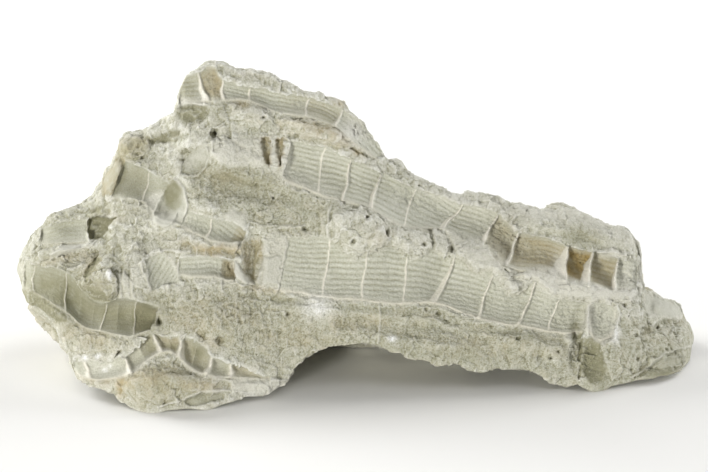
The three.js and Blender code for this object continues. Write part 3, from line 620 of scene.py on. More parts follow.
# %% Corallites
# across, down of upper rim, of lower rim, depth, tabula, slope, upper rib, lower rib, brown
CORALLITES = {
    "crest": [
        (180, 76, 180, 99, 0.5, 0, 0, 0, 6, 0.1),
        (198, 72, 208, 101, 1.1, 0.7, 1.2, 0, 7, 0.5),
        (211, 66, 215, 101, 0.8, 0, 0, 0, 7, 0.6),
        (222, 78, 224, 101, 1.0, 0.6, 0.8, 0, 7, 0),
        (252, 86, 248, 100, 1.2, 0.45, 0, 0.5, 5, 0),
        (281, 92, 276, 112, 1.2, 0, 0, 0.5, 6.5, 0.1),
        (310, 97, 305, 116, 1.2, 0.4, 0, 0.5, 6, 0.2),
        (342, 109, 336, 127, 1.3, 0.8, 0.7, 0.5, 6, 0),
        (365, 124, 352, 142, 1.0, 0, 0, 0, 5, 0),
        (384, 154, 376, 158, 0.3, 0, 0, 2, 4, 0),
    ],
    "upper": [
        (291, 138, 284, 179, 1.2, 0, 0, 0.4, 9.7, 0),
        (297, 140, 290, 182, 2.0, 0, 0, 0.4, 9.9, 0),
        (325, 147, 317, 192, 2.3, 0.35, 0, 0.3, 10.7, 0),
        (352, 158, 342, 201, 2.5, 1.0, 0.4, 1.3, 11.1, 0),
        (381, 171, 371, 208, 2.4, 1.1, 0.7, 2.2, 10.5, 0),
        (416, 188, 403, 227, 2.2, 0.3, 0, 2.6, 11, 0),
        (464, 203, 443, 230, 2, 0.8, 1.0, 0.4, 7.8, 0.05),
        (498, 213, 482, 246, 2.4, 1.2, 0.6, -0.8, 8.6, 0.35),
        (520, 231, 506, 266, 2.8, 1.6, 0.6, -1, 9, 0.5),
        (547, 238, 545, 271, 2.5, 0, 0, 1, 9, 0.55),
        (567, 244, 566, 281, 2.8, 2.7, 3.0, 1, 9, 0.95),
        (592, 251, 589, 285, 3.0, 2.8, 1.8, 1, 9, 0.5),
        (618, 257, 614, 291, 2.4, 2.4, 0.8, 1, 9, 0),
        (638, 262, 636, 290, 0.5, 0, 0, 1, 9, 0),
    ],
    "lower": [
        (290, 236, 279, 290, 0.15, 0, 0, 0.6, 12.5, 0),
        (330, 238, 323, 296, 2.1, 0.4, 0, 0.1, 13.1, 0),
        (367, 247, 362, 300, 2.1, 0.3, 0, 2.8, 13.2, 0),
        (410, 247, 402, 303, 2.1, 0.35, 0, 2, 13.2, 0),
        (457, 254, 436, 303, 2.3, 1.2, 1.4, 1.3, 12.4, 0),
        (494, 272, 478, 318, 2, 0.9, 0.4, 2.4, 14, 0),
        (537, 280, 519, 325, 2, 1.1, 0.4, 2.2, 13.8, 0),
        (559, 297, 548, 331, 1.7, 0.35, 0, 5, 13.8, 0.05),
        (586, 302, 582, 332, 1.5, 0, 0, 5.5, 13.2, 0),
    ],
    "end_chamber": [
        (591, 304, 589, 332, 0.8, 0.5, 0.5, 0, 9, 0),
        (601, 302, 597, 340, 1.5, 0, 0, 0, 12, 0),
        (610, 304, 607, 338, 1.4, 0, 0, 0, 11, 0),
        (616, 310, 614, 328, 0.7, 0.4, 0, 0, 5, 0),
    ],
    "small_middle": [
        (187, 212, 181, 226, 0.8, 0, 0, 0.5, 4, 0),
        (213, 217, 207, 238, 1.3, 0.5, 0, 0, 5.4, 0),
        (238, 225, 229, 243, 1.9, 0, 0, -1.6, 3.2, 0.4),
        (247, 231, 241, 243, 1.8, 0, 0, -2.2, 2.0, 0.5),
    ],
    "lower_left": [
        (180, 256, 178, 275, 0.7, 0, 0, 0, 4.5, 0),
        (206, 256, 205, 276, 1.2, 0, 0, 0, 4.8, 0),
        (222, 258, 221, 278, 1.6, 0, 0, 0, 4.8, 0.6),
        (234, 260, 235, 280, 2.6, 0, 0, 0, 4.8, 0.6),
    ],
    "curved": [
        (144, 260, 164, 253, 0.5, 0, 0, 0, 3.6, 0),
        (148, 275, 175, 266, 1.1, 0, 0, 2.3, 7.0, 0),
        (152, 291, 180, 281, 0.7, 0, 0, 4.6, 10.4, 0),
    ],
    "upper_left": [
        (126, 160, 112, 196, 1.2, 0, 0, 0, 9, 0.1),
        (150, 170, 143, 202, 1.8, 0.3, 0, 0, 9, 0),
        (170, 184, 153, 212, 1, 0, 0, 0, 9, 0),
    ],
    "far_left_small": [
        (42, 228, 41, 243, 0.8, 0, 0, 0, 4, 0),
        (64, 222, 62, 243, 1.4, 0, 0, 0, 6, 0),
        (87, 219, 86, 242, 1.4, 0, 0, 0, 6, 0),
    ],
    "far_left_long": [
        (25, 263, 25, 288, 0.7, 0, 0, 0, 8, 0),
        (34, 264, 33, 292, 1.4, 0.3, 0, 0, 8, 0),
        (66, 272, 66, 311, 2.4, 0.5, 0.4, 0, 9, 0),
        (82, 291, 79, 322, 2.6, 0, 0, 0.3, 9.2, 0.1),
        (95, 300, 91, 329, 2.8, 0, 0, 0.6, 9.4, 0.1),
        (107, 301, 101, 331, 3.0, 0.5, 0.2, 1, 9.5, 0.15),
        (119, 297, 116, 334, 3.4, 0, 0, 1, 10, 0.15),
        (137, 300, 133, 336, 3.8, 0.35, 0.2, 1, 10, 0.45),
        (158, 306, 151, 330, 4.2, 0, 0, 2, 9, 0.7),
    ],
    "foot": [
        (73, 358, 74, 371, 0.5, 0, 0, 0, 4, 0),
        (85, 357, 89, 378, 1.1, 0.7, 0.3, 0, 7, 0),
        (104, 360, 108, 379, 1.3, 0, 0, 0, 7, 0),
        (123, 357, 132, 374, 1.5, 1.3, 0.8, 0, 6, 0.1),
        (138, 345, 146, 361, 1.7, 0, 0, 0, 6, 0.3),
        (151, 333, 163, 352, 1.6, 1.4, 0.9, 0, 6, 0.4),
        (167, 336, 172, 351, 1.2, 0, 0, 0, 6, 0.5),
        (181, 335, 180, 358, 1.6, 1.5, -1.6, 0, 6, 0.3),
        (197, 341, 192, 369, 2.6, 0, 0, 0, 7, 0.25),
        (213, 353, 207, 375, 2.1, 1.6, 0.9, 0, 6, 0.1),
        (232, 362, 230, 377, 1.3, 1.1, 0.8, 0, 4, 0.3),
        (252, 369, 252, 378, 0.8, 0, 0, 0, 3, 0.2),
        (270, 375, 270, 379, 0.3, 0, 0, 0, 2, 0),
    ],
}
print("cross lines:", {name: len(lines) for name, lines in CORALLITES.items()})

# %% [markdown]
# ## Round tubes
# A tube's wall, from rim to rim, is an arc of a circle. Its rims are smooth curves through the
# ends of the cross lines, so more cross lines are worked out between those of the table.

# %% Round tubes
ARC = math.radians(50)  # each mould is part of a round tube: this far to each side of its bottom
LINES_BETWEEN = 5  # extra cross lines between two of the table's, for smooth rims


def bowl(angle):
    """Depth of a round tube's wall behind its opening, as a share of the deepest."""
    return (np.cos(angle) - math.cos(ARC)) / (1 - math.cos(ARC))


def smooth_lines(lines):
    """A mould's cross lines with more between them, so that its rims are smooth curves."""
    table = np.array(lines, float)
    knots = np.concatenate([[2 * table[0] - table[1]], table, [2 * table[-1] - table[-2]]])
    at = np.linspace(0, len(lines) - 1, (len(lines) - 1) * LINES_BETWEEN + 1)
    k = np.minimum(at.astype(int), len(lines) - 2)
    u = (at - k)[:, None]
    a, b, c, d = (knots[k + i] for i in range(4))
    curve = b + 0.5 * u * (c - a + u * (2 * a - 5 * b + 4 * c - d + u * (3 * (b - c) + d - a)))
    curve[:, 5:] = (b + u * (c - b))[:, 5:]
    return at, curve


smooth = smooth_lines(CORALLITES["lower"])[0]
print("cross lines of the lower mould, made smooth:", len(smooth))

# %% [markdown]
# ## Where a place lies in a mould
# Two neighbouring cross lines make a strip with four corners. A place's share across the strip
# and its share along it come from improving one by the other a few times. The strip that a place
# misses by the least is its own, and so a place just outside a mould has its numbers too.

# %% Places in a mould
REACH = 9  # sheet units past a rim within which a mould shapes the rock
ROUNDS = 8  # of improving a place's two shares


def find_in_mould(lines, across, down):
    """For each place: how far it misses the mould, its line number and its share across."""
    at_lines, table = smooth_lines(lines)
    miss = np.full(across.shape, 1e9)
    at, share = np.zeros(across.shape), np.zeros(across.shape)
    for i, (one, two) in enumerate(zip(table, table[1:])):
        p = np.array([one[:2], one[2:4], two[:2], two[2:4]])
        low, high = p.min(axis=0) - REACH, p.max(axis=0) + REACH
        first, last = np.searchsorted(across[:, 0], [low[0], high[0]])
        near = (down[first:last] > low[1]) & (down[first:last] < high[1])
        x, y = across[first:last][near], down[first:last][near]
        t = np.full(x.shape, 0.5)
        for _ in range(ROUNDS):
            px, py = lerp(p[0, 0], p[1, 0], t), lerp(p[0, 1], p[1, 1], t)
            qx, qy = lerp(p[2, 0], p[3, 0], t) - px, lerp(p[2, 1], p[3, 1], t) - py
            length2 = np.maximum(qx * qx + qy * qy, 0.04)
            free = ((x - px) * qx + (y - py) * qy) / length2
            s = np.clip(free, -6, 7)
            ax, ay = lerp(p[0, 0], p[2, 0], s), lerp(p[0, 1], p[2, 1], s)
            bx, by = lerp(p[1, 0], p[3, 0], s) - ax, lerp(p[1, 1], p[3, 1], s) - ay
            width2 = np.maximum(bx * bx + by * by, 1)
            t = np.clip(((x - ax) * bx + (y - ay) * by) / width2, -1, 2)
        off = np.maximum(np.maximum(-free, free - 1), 0) * np.sqrt(length2)
        off = off + np.maximum(np.maximum(-t, t - 1), 0) * np.sqrt(width2)
        better = off < miss[first:last][near]
        s = np.clip(s, -2 if i == 0 else 0, 3 if i == len(table) - 2 else 1)
        for kept, value in ((miss, off), (at, (i + s) / LINES_BETWEEN), (share, t)):
            block = kept[first:last]
            block[near] = np.where(better, value, block[near])
    return miss, at, share


found = find_in_mould(CORALLITES["lower"], np.array([[400.0]]), np.array([[280.0]]))
print("a place's miss, line and share in the lower mould:", [round(v.item(), 2) for v in found])

# %% [markdown]
# ## A mould's surface
# The wall has a septal rib every three quarters of a millimetre or so, and the tabulae stand on
# it. The rim lines are ragged: the crust laps over the upper rim, and the lower rim stands a
# little above the matrix under it. The moulds differ in how well all this is kept, so each has
# its own finish.

# %% Finish of the moulds
RIB_HEIGHT = 0.15  # mm
RIB_FLATNESS = 0.6  # under 1 the grooves are narrower than the ribs
TABULA_THICK = 0.13  # mm, half the wall
STEP_BELOW = 0.18  # mm from a lower rim down to the matrix under it
LIP_ABOVE = 0.16  # mm that the crust stands over an upper rim
RIM_WIDTH = 2.2  # sheet units of pale rim
STEP_WIDTH, LIP_WIDTH = 6, 7  # sheet units over which the rock meets a rim from outside
LEAN_EDGE = 0.25  # mm over which a leaning tabula's colour ends
# how strong the ribs are, how pale the lower rim, how ragged the upper rim, how thick the
# tabulae are, and how much each chamber is rounded between two tabulae
MOULD_FINISH = {
    "crest": (1, 0.5, 2, 1.2, 0), "upper": (1.25, 0.7, 1.6, 1.2, 0.05),
    "lower": (1, 1, 1.8, 1.2, 0.05), "end_chamber": (0.4, 1.3, 0.8, 1.5, 0.1),
    "small_middle": (0.9, 0.7, 1.2, 1, 0), "lower_left": (0.6, 0.7, 1, 1, 0),
    "curved": (0.8, 0.2, 0.8, 1, 0), "upper_left": (0, 0.3, 1.2, 1, 0),
    "far_left_small": (0.25, 0.3, 0.8, 1, 0), "far_left_long": (0.25, 0.4, 1, 0.75, 0.1),
    "foot": (0.15, 0.8, 3.5, 2.4, 0.3),
}
# places where the ribs are worn away, as bells: across, down, rx, ry, turn, share
WORN = [
    (360, 132, 20, 14, 0, 1), (212, 84, 9, 18, 0, 1), (404, 196, 16, 12, 25, 0.85),
    (430, 210, 26, 14, 25, 0.4), (504, 238, 20, 22, 0, 1.6), (534, 254, 16, 16, 0, 0.4),
    (240, 90, 10, 5, 0, 0.3), (505, 284, 14, 8, 0, 0.9), (560, 312, 14, 10, 0, 0.5),
    (200, 224, 14, 12, 0, 0.7), (300, 106, 8, 6, 0, 0.5), (300, 288, 30, 8, 4, 0.35),
    (400, 296, 60, 6, 4, 0.4), (300, 180, 20, 8, 18, 0.5), (580, 262, 12, 16, 0, 1),
    (272, 155, 14, 20, 0, 1.3), (227, 270, 8, 12, 0, 1), (330, 196, 26, 6, 14, 0.4),
    (40, 306, 18, 10, 25, 0.9), (628, 274, 10, 18, 0, 0.7), (604, 320, 18, 18, 0, 0.7),
    (530, 306, 60, 24, 8, 0.4),
]
print("moulds:", len(MOULD_FINISH), "worn places:", len(WORN))

# %% [markdown]
# ## Tabulae
# A tabula is a thin wall across the tube. It wanders a little to both sides, its thickness and
# its top are uneven, and where its foot spreads it slopes down to the tube's wall on one side.

# %% Tabulae
def tabula_lift(lines, starts, along, share, thickness, noise):
    """Height of the tabulae above the wall, and how far each place is on one."""
    lift, mask = np.zeros(along.shape), np.zeros(along.shape)
    for start, line in zip(starts, lines):
        height, slope = line[5], line[6]
        if height == 0:
            continue
        wander = 0.16 * np.sin(5.5 * share + 3 * start) + 0.05 * np.sin(12 * share + 5 * start)
        wander = wander + 0.1 * noise
        away = along - start + wander
        thick = TABULA_THICK * thickness * lerp(0.8, 1.5, share) * min(1, 0.5 + height)
        thick = thick * (1 + 0.5 * noise).clip(0.3)
        wall = 1 / (1 + (away / thick) ** 4)
        if slope:
            reach = abs(slope) * (0.1 + 0.9 * share.clip(0, 1))
            before = -away * np.sign(slope)  # mm to the side that the tabula leans to
            ramp = np.clip(1 - before / reach, 0, 1) * (before > 0)
            lift = np.maximum(lift, 0.85 * height * ramp)
            spread = np.clip((reach - before) / LEAN_EDGE, 0, 0.9) * (before > 0)
            mask = np.maximum(mask, spread)
        jagged = 0.88 + 0.12 * np.sin(share * 15 + start) + 0.15 * noise
        lift = np.maximum(lift, height * wall * jagged)
        mask = np.maximum(mask, wall * min(1, 0.6 + height))
    return lift, mask


print("tabulae:", sum(line[5] > 0 for lines in CORALLITES.values() for line in lines))

# %% [markdown]
# ## The wall of a mould
# The wall starts at the straight chord between the two rims and sinks by the arc of the tube. The
# ribs are a wave across the tube, weaker where the wall is worn and near the rims. They and the
# tabulae are lifts from the wall, and the higher of the two counts. Crumbs roughen it all.

# %% Wall of a mould
def mould(name, lines, across, down, noises):
    """A mould's depth and masks at the places that it reaches, and the rock's change there."""
    edge_noise, fine_noise, grit = noises
    miss, at, share = find_in_mould(lines, across, down)
    here = miss < REACH
    at, share, miss = at[here], share[here], miss[here]
    at_lines, table = smooth_lines(lines)
    ux, uy, lx, ly, deep, _, _, rib_top, rib_low, _ = (
        np.interp(at, at_lines, table[:, k]) for k in range(10)
    )
    middle = (table[:, :2] + table[:, 2:4]) / 2
    steps = np.linalg.norm(np.diff(middle, axis=0), axis=1) * UNIT
    along_lines = np.concatenate([[0], np.cumsum(steps)])
    starts = along_lines[::LINES_BETWEEN]
    past = np.minimum(at, 0) * steps[0] + np.maximum(at - len(lines) + 1, 0) * steps[-1]
    along = np.interp(at, at_lines, along_lines) + past * LINES_BETWEEN
    width = np.hypot(lx - ux, ly - uy)
    ribs_strength, rim_pale, ragged, thickness, cup = MOULD_FINISH[name]
    edge_n, fine_n = edge_noise[here], fine_noise[here]
    from_upper = share * width - ragged * (0.6 + edge_n)
    from_lower = (1 - share) * width + 0.7 * edge_n
    from_ends = np.minimum(along, along_lines[-1] - along) / UNIT + 1.2 * edge_n
    inside = np.minimum(np.minimum(from_upper, from_lower), from_ends)
    inner = np.clip(share, 0, 1)
    angle = np.arcsin((2 * inner - 1) * math.sin(ARC))
    open_ = bowl(angle)
    rims = face_depth(table[:, [0, 2]], table[:, [1, 3]])
    chord = lerp(np.interp(at, at_lines, rims[:, 0]), np.interp(at, at_lines, rims[:, 1]), inner)
    chamber = np.clip(np.floor(at), 0, len(lines) - 1).astype(int)
    turn = 2 * np.pi * (lerp(rib_top, rib_low, (angle / ARC + 1) / 2) + 0.12 * chamber)
    rib = (0.5 - 0.5 * np.cos(turn + 0.12 * fine_n)) ** RIB_FLATNESS
    rib = rib * (0.9 + 0.25 * fine_n).clip(0.6, 1.1)
    calm = np.clip(inside / 3, 0, 1)
    worn = 1 - np.clip(spots(WORN, across[here], down[here], 1), 0, 1)
    strength = calm * worn * np.clip(0.8 + 0.5 * edge_n, 0.2, 1)
    lift, tabula = tabula_lift(lines, starts, along, inner, thickness, fine_n)
    ends = np.concatenate([starts, [starts[-1] + 1]])
    between = np.clip((along - ends[chamber]) / (ends[chamber + 1] - ends[chamber]), 0, 1)
    open_ = open_ * (1 - cup * (1 - np.sin(np.pi * between).clip(0) ** 0.6))
    lift = lift * (0.35 + 0.65 * np.sqrt(open_.clip(0, 1)))
    lift = np.maximum(lift, RIB_HEIGHT * ribs_strength * strength * rib * (1 - 0.6 * tabula))
    crumbs = 0.04 * fine_n + (1 - worn) * (0.22 * fine_n + 0.22 * grit[here]) + 0.05 * grit[here]
    surface = chord + deep * open_ - lift - crumbs
    browns = np.array([line[9] for line in lines])
    walled = np.array([line[5] > 0 for line in lines])
    before = browns[np.maximum(chamber - 1, 0)]
    gradual = lerp(before, browns[chamber], np.clip(0.5 + between, 0, 1))
    brown = np.where(walled[chamber], browns[chamber], gradual)
    masks = {
        # the wall's colour is darker where rib is low, in the grooves: painted shade between the
        # ribs
        "rib": lerp(0.5, rib, strength * min(1, 1.6 * ribs_strength)),
        "brown": brown * np.clip(open_ * 1.5, 0, 1) * (1 - tabula),
        "tabula": tabula * np.clip(inside / 2, 0, 1),
        "rim": rim_pale * np.exp(-((from_lower / RIM_WIDTH) ** 2)) * (from_ends > 0),
        "worn": (1 - worn).clip(0, 1),
    }
    within = from_ends > 0
    below = within * np.clip(1 + from_lower / STEP_WIDTH, 0, 1) * (from_lower < 2)
    above = within * np.clip(1 + from_upper / LIP_WIDTH, 0, 1) * (from_upper < 2) * (ragged > 0)
    return here, surface, inside, chord, below, above * (0.7 + 0.6 * edge_n).clip(0, 1.2), masks


for name, lines in CORALLITES.items():
    print(name, "has", round(max(line[8] - line[7] for line in lines)), "ribs across it")

# %% [markdown]
# ## Where crust laps over the moulds
# Between the long moulds the crust hangs over their rims in lobes, like icing. Inside these
# outlines it covers the mould: thin at a lobe's edge and as thick as the rock further in.

# %% Laps
LAP_THIN, LAP_RISE = 0.2, 9  # mm at a lobe's edge; sheet units to its full thickness
LAPS = [
    [(326, 212), (345, 205), (368, 210), (386, 222), (394, 236), (388, 247), (372, 255), (356,
     260), (343, 253), (333, 245), (328, 238)],
    [(391, 230), (400, 226), (420, 228), (433, 236), (432, 248), (425, 257), (413, 262), (402,
     257), (394, 247)],
    [(434, 231), (446, 231), (456, 244), (452, 263), (444, 262), (438, 252)],
    [(440, 229), (455, 232), (470, 236), (485, 243), (495, 253), (505, 264), (513, 272), (521,
     274), (530, 268), (540, 266), (552, 269), (568, 279), (590, 282), (600, 288), (613, 289),
     (625, 287), (640, 290), (640, 304), (622, 306), (606, 300), (592, 302), (575, 301), (556,
     297), (545, 288), (537, 281), (529, 287), (521, 298), (508, 296), (499, 283), (493, 273),
     (482, 277), (470, 272), (456, 261), (450, 246)],
]
print("laps of crust:", len(LAPS))

# %% [markdown]
# ## The face
# The rock's face is one fine grid of places on the sheet. Every column has the same number of
# rows from its foot to its top, so the grid fits any height of block. Its depth starts as the hull
# with its relief. Then each mould sinks its own surface into it, under the laps of crust.

# %% The face
COLUMNS, FACE_ROWS, BACK_ROWS = 797, 372, 150
CALM_EDGE = 5  # sheet units from the outline over which the fine forms grow
MOULD_EDGE = 1.2  # sheet units over which a mould takes over from the rock
LAP_EDGE = 3  # sheet units over which a lap covers a mould


def smoothstep(share):
    """A share from 0 to 1 that starts and ends gently."""
    return share * share * (3 - 2 * share)


across = np.linspace(LEFT_TIP, RIGHT_TIP, COLUMNS)[:, None]
top, foot = look_up(UPPER_OUTLINE, across), look_up(LOWER_OUTLINE, across)
face_across = np.repeat(across, FACE_ROWS + 1, axis=1)
rows = np.linspace(0, 1, FACE_ROWS + 1)[None, :]
soft_top, soft_foot = soft_look_up(UPPER_OUTLINE, across), soft_look_up(LOWER_OUTLINE, across)
near_top, near_foot = np.clip(4 * rows - 3, 0, 1), np.clip(1 - 4 * rows, 0, 1)
face_down = lerp(soft_foot, soft_top, rows)
face_down = face_down + (top - soft_top) * smoothstep(near_top)
face_down = face_down + (foot - soft_foot) * smoothstep(near_foot)
edge = np.minimum(face_down - top, foot - face_down)
calm_edge = np.clip(edge / CALM_EDGE, 0, 1)

depth = face_depth(face_across, face_down)
sheet = np.stack([face_across * UNIT, face_down * UNIT, 0 * face_down], axis=-1)
edge_noise = 0.7 * smooth_noise(sheet, 1.0) + 0.5 * smooth_noise(sheet + 7, 0.4)
fine_noise = 0.6 * smooth_noise(sheet + 13, 0.7) + 0.5 * smooth_noise(sheet + 19, 0.3)
grit = chips(sheet + 23, 0.5)
plates, paint = plate_relief(face_across, face_down, 1.8 * edge_noise)
line_height, chalky = line_relief(LINES, face_across, face_down, 0.8 * edge_noise)
paint["chalk"] = np.maximum(paint["chalk"], chalky * (0.7 + 0.6 * fine_noise).clip(0, 1))
depth = depth + (spots(PITS, face_across, face_down, 1) + line_height + plates) * calm_edge
wall = np.zeros(depth.shape)
paint.update({name: np.zeros(depth.shape) for name in ("brown", "tabula", "rim", "worn")})
paint["rib"] = np.full(depth.shape, 0.5)
laps = np.max([signed_distance(lobe, face_across, face_down) for lobe in LAPS], axis=0)
laps = laps + 1.6 * edge_noise
for name, lines in CORALLITES.items():
    here, surface, inside, chord, below, above, masks = mould(
        name, lines, face_across, face_down, (edge_noise, fine_noise, grit)
    )
    rock_depth = depth[here]
    lap = np.clip(0.5 + laps[here] / LAP_EDGE, 0, 1)
    below = below * (1 - lap)
    rock_depth = lerp(rock_depth, np.maximum(rock_depth, chord + STEP_BELOW), below)
    rock_depth = lerp(rock_depth, np.minimum(rock_depth, chord - LIP_ABOVE), above)
    blend = np.clip(0.5 + inside / MOULD_EDGE, 0, 1)
    lobe = lerp(surface - LAP_THIN, rock_depth, np.clip(laps[here] / LAP_RISE, 0, 1))
    depth[here] = lerp(lerp(rock_depth, surface, blend), lobe, blend * lap)
    blend = blend * (1 - lap)
    wall[here] = np.maximum(wall[here], blend)
    for mask, values in masks.items():
        share = np.clip(0.5 + (inside + 3) / 2, 0, 1) * (1 - lap) if mask == "rim" else blend
        paint[mask][here] = lerp(paint[mask][here], values, share)
face = place(face_across, face_down, depth)
print("face:", face.shape[:2], "deepest", round(float(depth.max()), 1), "mm")

# %% [markdown]
# ## The back and the base
# Each column of the face grows into a closed ring: over the top, down the back and along the
# base, on a smooth curve through a few knots.

# %% Back and base
TIP_COLUMNS = 70  # over which the back's lumps grow from each tip


def from_tips(columns):
    """A share for each column that grows from 0 at both tips to 1 over some columns."""
    steps = np.minimum(np.arange(COLUMNS), np.arange(COLUMNS)[::-1])
    return np.clip(steps / columns, 0, 1)[:, None]


def back_profile(first, last, across):
    """Points from the top of the face over the back and along the base to its foot."""
    back = np.maximum(look_up(BACK_REACH, across), last[:, 1] + 1)
    lift = np.minimum(look_up(BACK_LIFT, across), np.maximum(first[:, 2] - 0.5, 0.5 * last[:, 2]))

    def behind(share):
        return lerp(last[:, 1], back, share)

    def height(share):
        return lerp(lift, last[:, 2], share)

    def under(share):
        return lerp(first[:, 1], behind(0.9), share)

    knots = [  # (y, z) down the back and forward along the base
        (last[:, 1], last[:, 2]), (behind(0.35), last[:, 2] - (back - last[:, 1]) * 0.22),
        (behind(0.8), height(0.72)), (back, height(0.45)), (behind(0.98), height(0.18)),
        (behind(0.9), lift), (under(0.62), lift), (under(0.3), lerp(lift, first[:, 2], 0.72)),
        (first[:, 1], first[:, 2]),
    ]
    knots = np.array(knots)  # by knot, y or z, column
    knots = np.concatenate([[2 * knots[0] - knots[1]], knots, [2 * knots[-1] - knots[-2]]])
    steps = []
    for step in range(1, BACK_ROWS):
        at = step / BACK_ROWS * (len(knots) - 3)
        k = min(int(at), len(knots) - 4)
        u = at - k
        a, b, c, d = knots[k : k + 4]
        yz = b + 0.5 * u * (c - a + u * (2 * a - 5 * b + 4 * c - d + u * (3 * (b - c) + d - a)))
        steps.append(np.stack([slice_x(across, yz[0], yz[1]), yz[0], yz[1]], axis=-1))
    return np.stack(steps, axis=1)


back = back_profile(face[:, 0], face[:, -1], across[:, 0])
ring = np.concatenate([face, back, face[:, :1]], axis=1)
behind = np.zeros(ring.shape[1])
behind[FACE_ROWS + 1 : -1] = np.sin(np.pi * np.arange(1, BACK_ROWS) / BACK_ROWS)
ring = weather(ring, behind * from_tips(TIP_COLUMNS))
print("rings:", ring.shape[0], "of", ring.shape[1], "points")

# %% [markdown]
# ## Grain
# The grain pushes each point in or out along the surface's own normal. The normals come from the
# grid itself: the cross product of its two directions. Lumps and grains make the rock, holes are
# where grains fell out, and large facets are left where the back broke. In the moulds, on chalky
# crust and at the floor the grain fades, so that the walls stay fine and the feet stand flat.

# %% Grain
SMOOTHING = 3  # grid steps that the surface is averaged over for its normals
FLAT_HEIGHT = 1.5  # mm above the floor over which the grain grows
TIP_GRAIN = 12  # columns from each tip over which it grows


def grid_normals(points):
    """Unit normals of a grid of points."""
    normal = np.cross(np.gradient(points, axis=0), np.gradient(points, axis=1))
    length = np.linalg.norm(normal, axis=-1, keepdims=True)
    return normal / np.maximum(length, 1e-9)


def blur(values, reach):
    """A running mean over the grid in both directions."""
    for axis in (0, 1):
        first, last = (np.repeat(values.take([end], axis), reach, axis) for end in (0, -1))
        total = np.cumsum(np.concatenate([first, values, last], axis), axis)
        size = 2 * reach
        upto, before = range(size, total.shape[axis]), range(total.shape[axis] - size)
        values = (total.take(upto, axis) - total.take(before, axis)) / size
    return values


def blur_points(points, reach):
    """The same for points: each of their three numbers is averaged."""
    return np.stack([blur(points[..., k], reach) for k in range(3)], axis=-1)


outward = grid_normals(blur_points(ring, SMOOTHING))
if outward[COLUMNS // 2, FACE_ROWS // 2, 1] > 0:
    outward = -outward  # the middle of the face looks to the front
lumps = 0.26 * fractal(ring, 3.4, 3) + 0.34 * chips(ring, 2.3) + 0.2 * chips(ring + 5, 1.2)
patch = np.clip(0.5 + 0.9 * fractal(ring + 61, 4, 2), 0, 1.4)
grains = (0.08 * fractal(ring + 31, 1.0, 3) + 0.1 * chips(ring + 71, 0.7)) * (0.3 + patch)
grains = grains - 0.4 * scatter(ring + 17, 1.5, 0.16) - 0.3 * scatter(ring + 3, 0.8, 0.12)
crystals = 0.06 * fractal(ring + 41, 0.36, 2)
calm = np.zeros(ring.shape[:2])
calm[:, : FACE_ROWS + 1] = np.clip(0.6 * paint["chalk"] + paint["smooth"], 0, 0.85)
matrix = np.full(ring.shape[:2], 0.4)
matrix[:, : FACE_ROWS + 1] = paint["matrix"]
rough = lumps * (1 - 0.4 * matrix) + grains * (0.8 + 0.3 * matrix) + crystals
rough = rough + behind * (0.9 * chips(ring + 40, 8) + 0.5 * chips(ring + 50, 3.6))
fade = 1 - calm
fade[:, : FACE_ROWS + 1] *= 1 - 0.95 * wall * (1 - 0.5 * paint["worn"])
fade[:, -1] = fade[:, 0]
fade = fade * np.clip(ring[..., 2] / FLAT_HEIGHT, 0, 1) * from_tips(TIP_GRAIN)
ring = ring + outward * (rough * fade)[..., None]
ring[:, -1] = ring[:, 0]
for tip in (0, -1):
    ring[tip] = ring[tip].mean(axis=0)
ring[..., 2] = np.maximum(ring[..., 2], 0)
print("grain in mm: from", round(float(rough.min()), 2), "to", round(float(rough.max()), 2))

# %% [markdown]
# ## Masks for colour
# Colour follows form here as painted light: hollows are painted darker as shade and proud places
# paler as highlight. The mask for this compares each point's depth with the average round it, once
# for single grains and once for lumps. Stains, chalky places and patches of calcite crystals are
# painted as soft spots, and so is olive, which is partly a greenish stain and partly painted shade
# in hollows and under overhangs. On the back, soil has left its own uneven stain.

# %% Masks
# soft spots of colour, as bells: across, down, rx, ry, turn, strength
STAINS = [
    (215, 250, 26, 6, 3, 0.3), (117, 173, 9, 18, 15, 1), (243, 103, 6, 4, 0, 0.8),
    (214, 84, 6, 12, 0, 0.3), (121, 387, 5, 9, 20, 0.9), (150, 376, 26, 8, -10, 0.5),
    (205, 384, 22, 6, 0, 0.5), (98, 380, 22, 5, 10, 0.5), (158, 388, 42, 16, 0, 0.35),
    (90, 336, 36, 14, 10, 0.35), (205, 318, 50, 20, 0, 0.25), (300, 340, 40, 10, 0, 0.2),
    (500, 345, 60, 10, 5, 0.15), (541, 262, 20, 10, 10, 0.45), (506, 240, 14, 20, 0, 0.7),
    (606, 270, 9, 12, 0, 0.35), (350, 322, 40, 8, 0, 0.25), (244, 372, 12, 6, 0, 0.3),
    (330, 132, 30, 9, 20, 0.3), (68, 258, 30, 4, -12, 0.5), (356, 152, 10, 4, 20, 0.5),
    (132, 146, 16, 7, -15, 0.4), (505, 250, 8, 10, 0, 0.4), (88, 268, 6, 10, 30, 0.5),
    (92, 364, 16, 4, 0, 0.2), (225, 178, 20, 8, 10, 0.4), (340, 104, 6, 5, 0, 0.4),
    (362, 140, 5, 4, 0, 0.4), (190, 244, 20, 6, 10, 0.3), (112, 216, 14, 6, 0, 0.3),
    (208, 344, 12, 10, 0, 0.3), (262, 290, 20, 4, 6, 0.4), (250, 75, 16, 5, 10, 0.2),
    (380, 240, 10, 8, 0, 0.3),
]
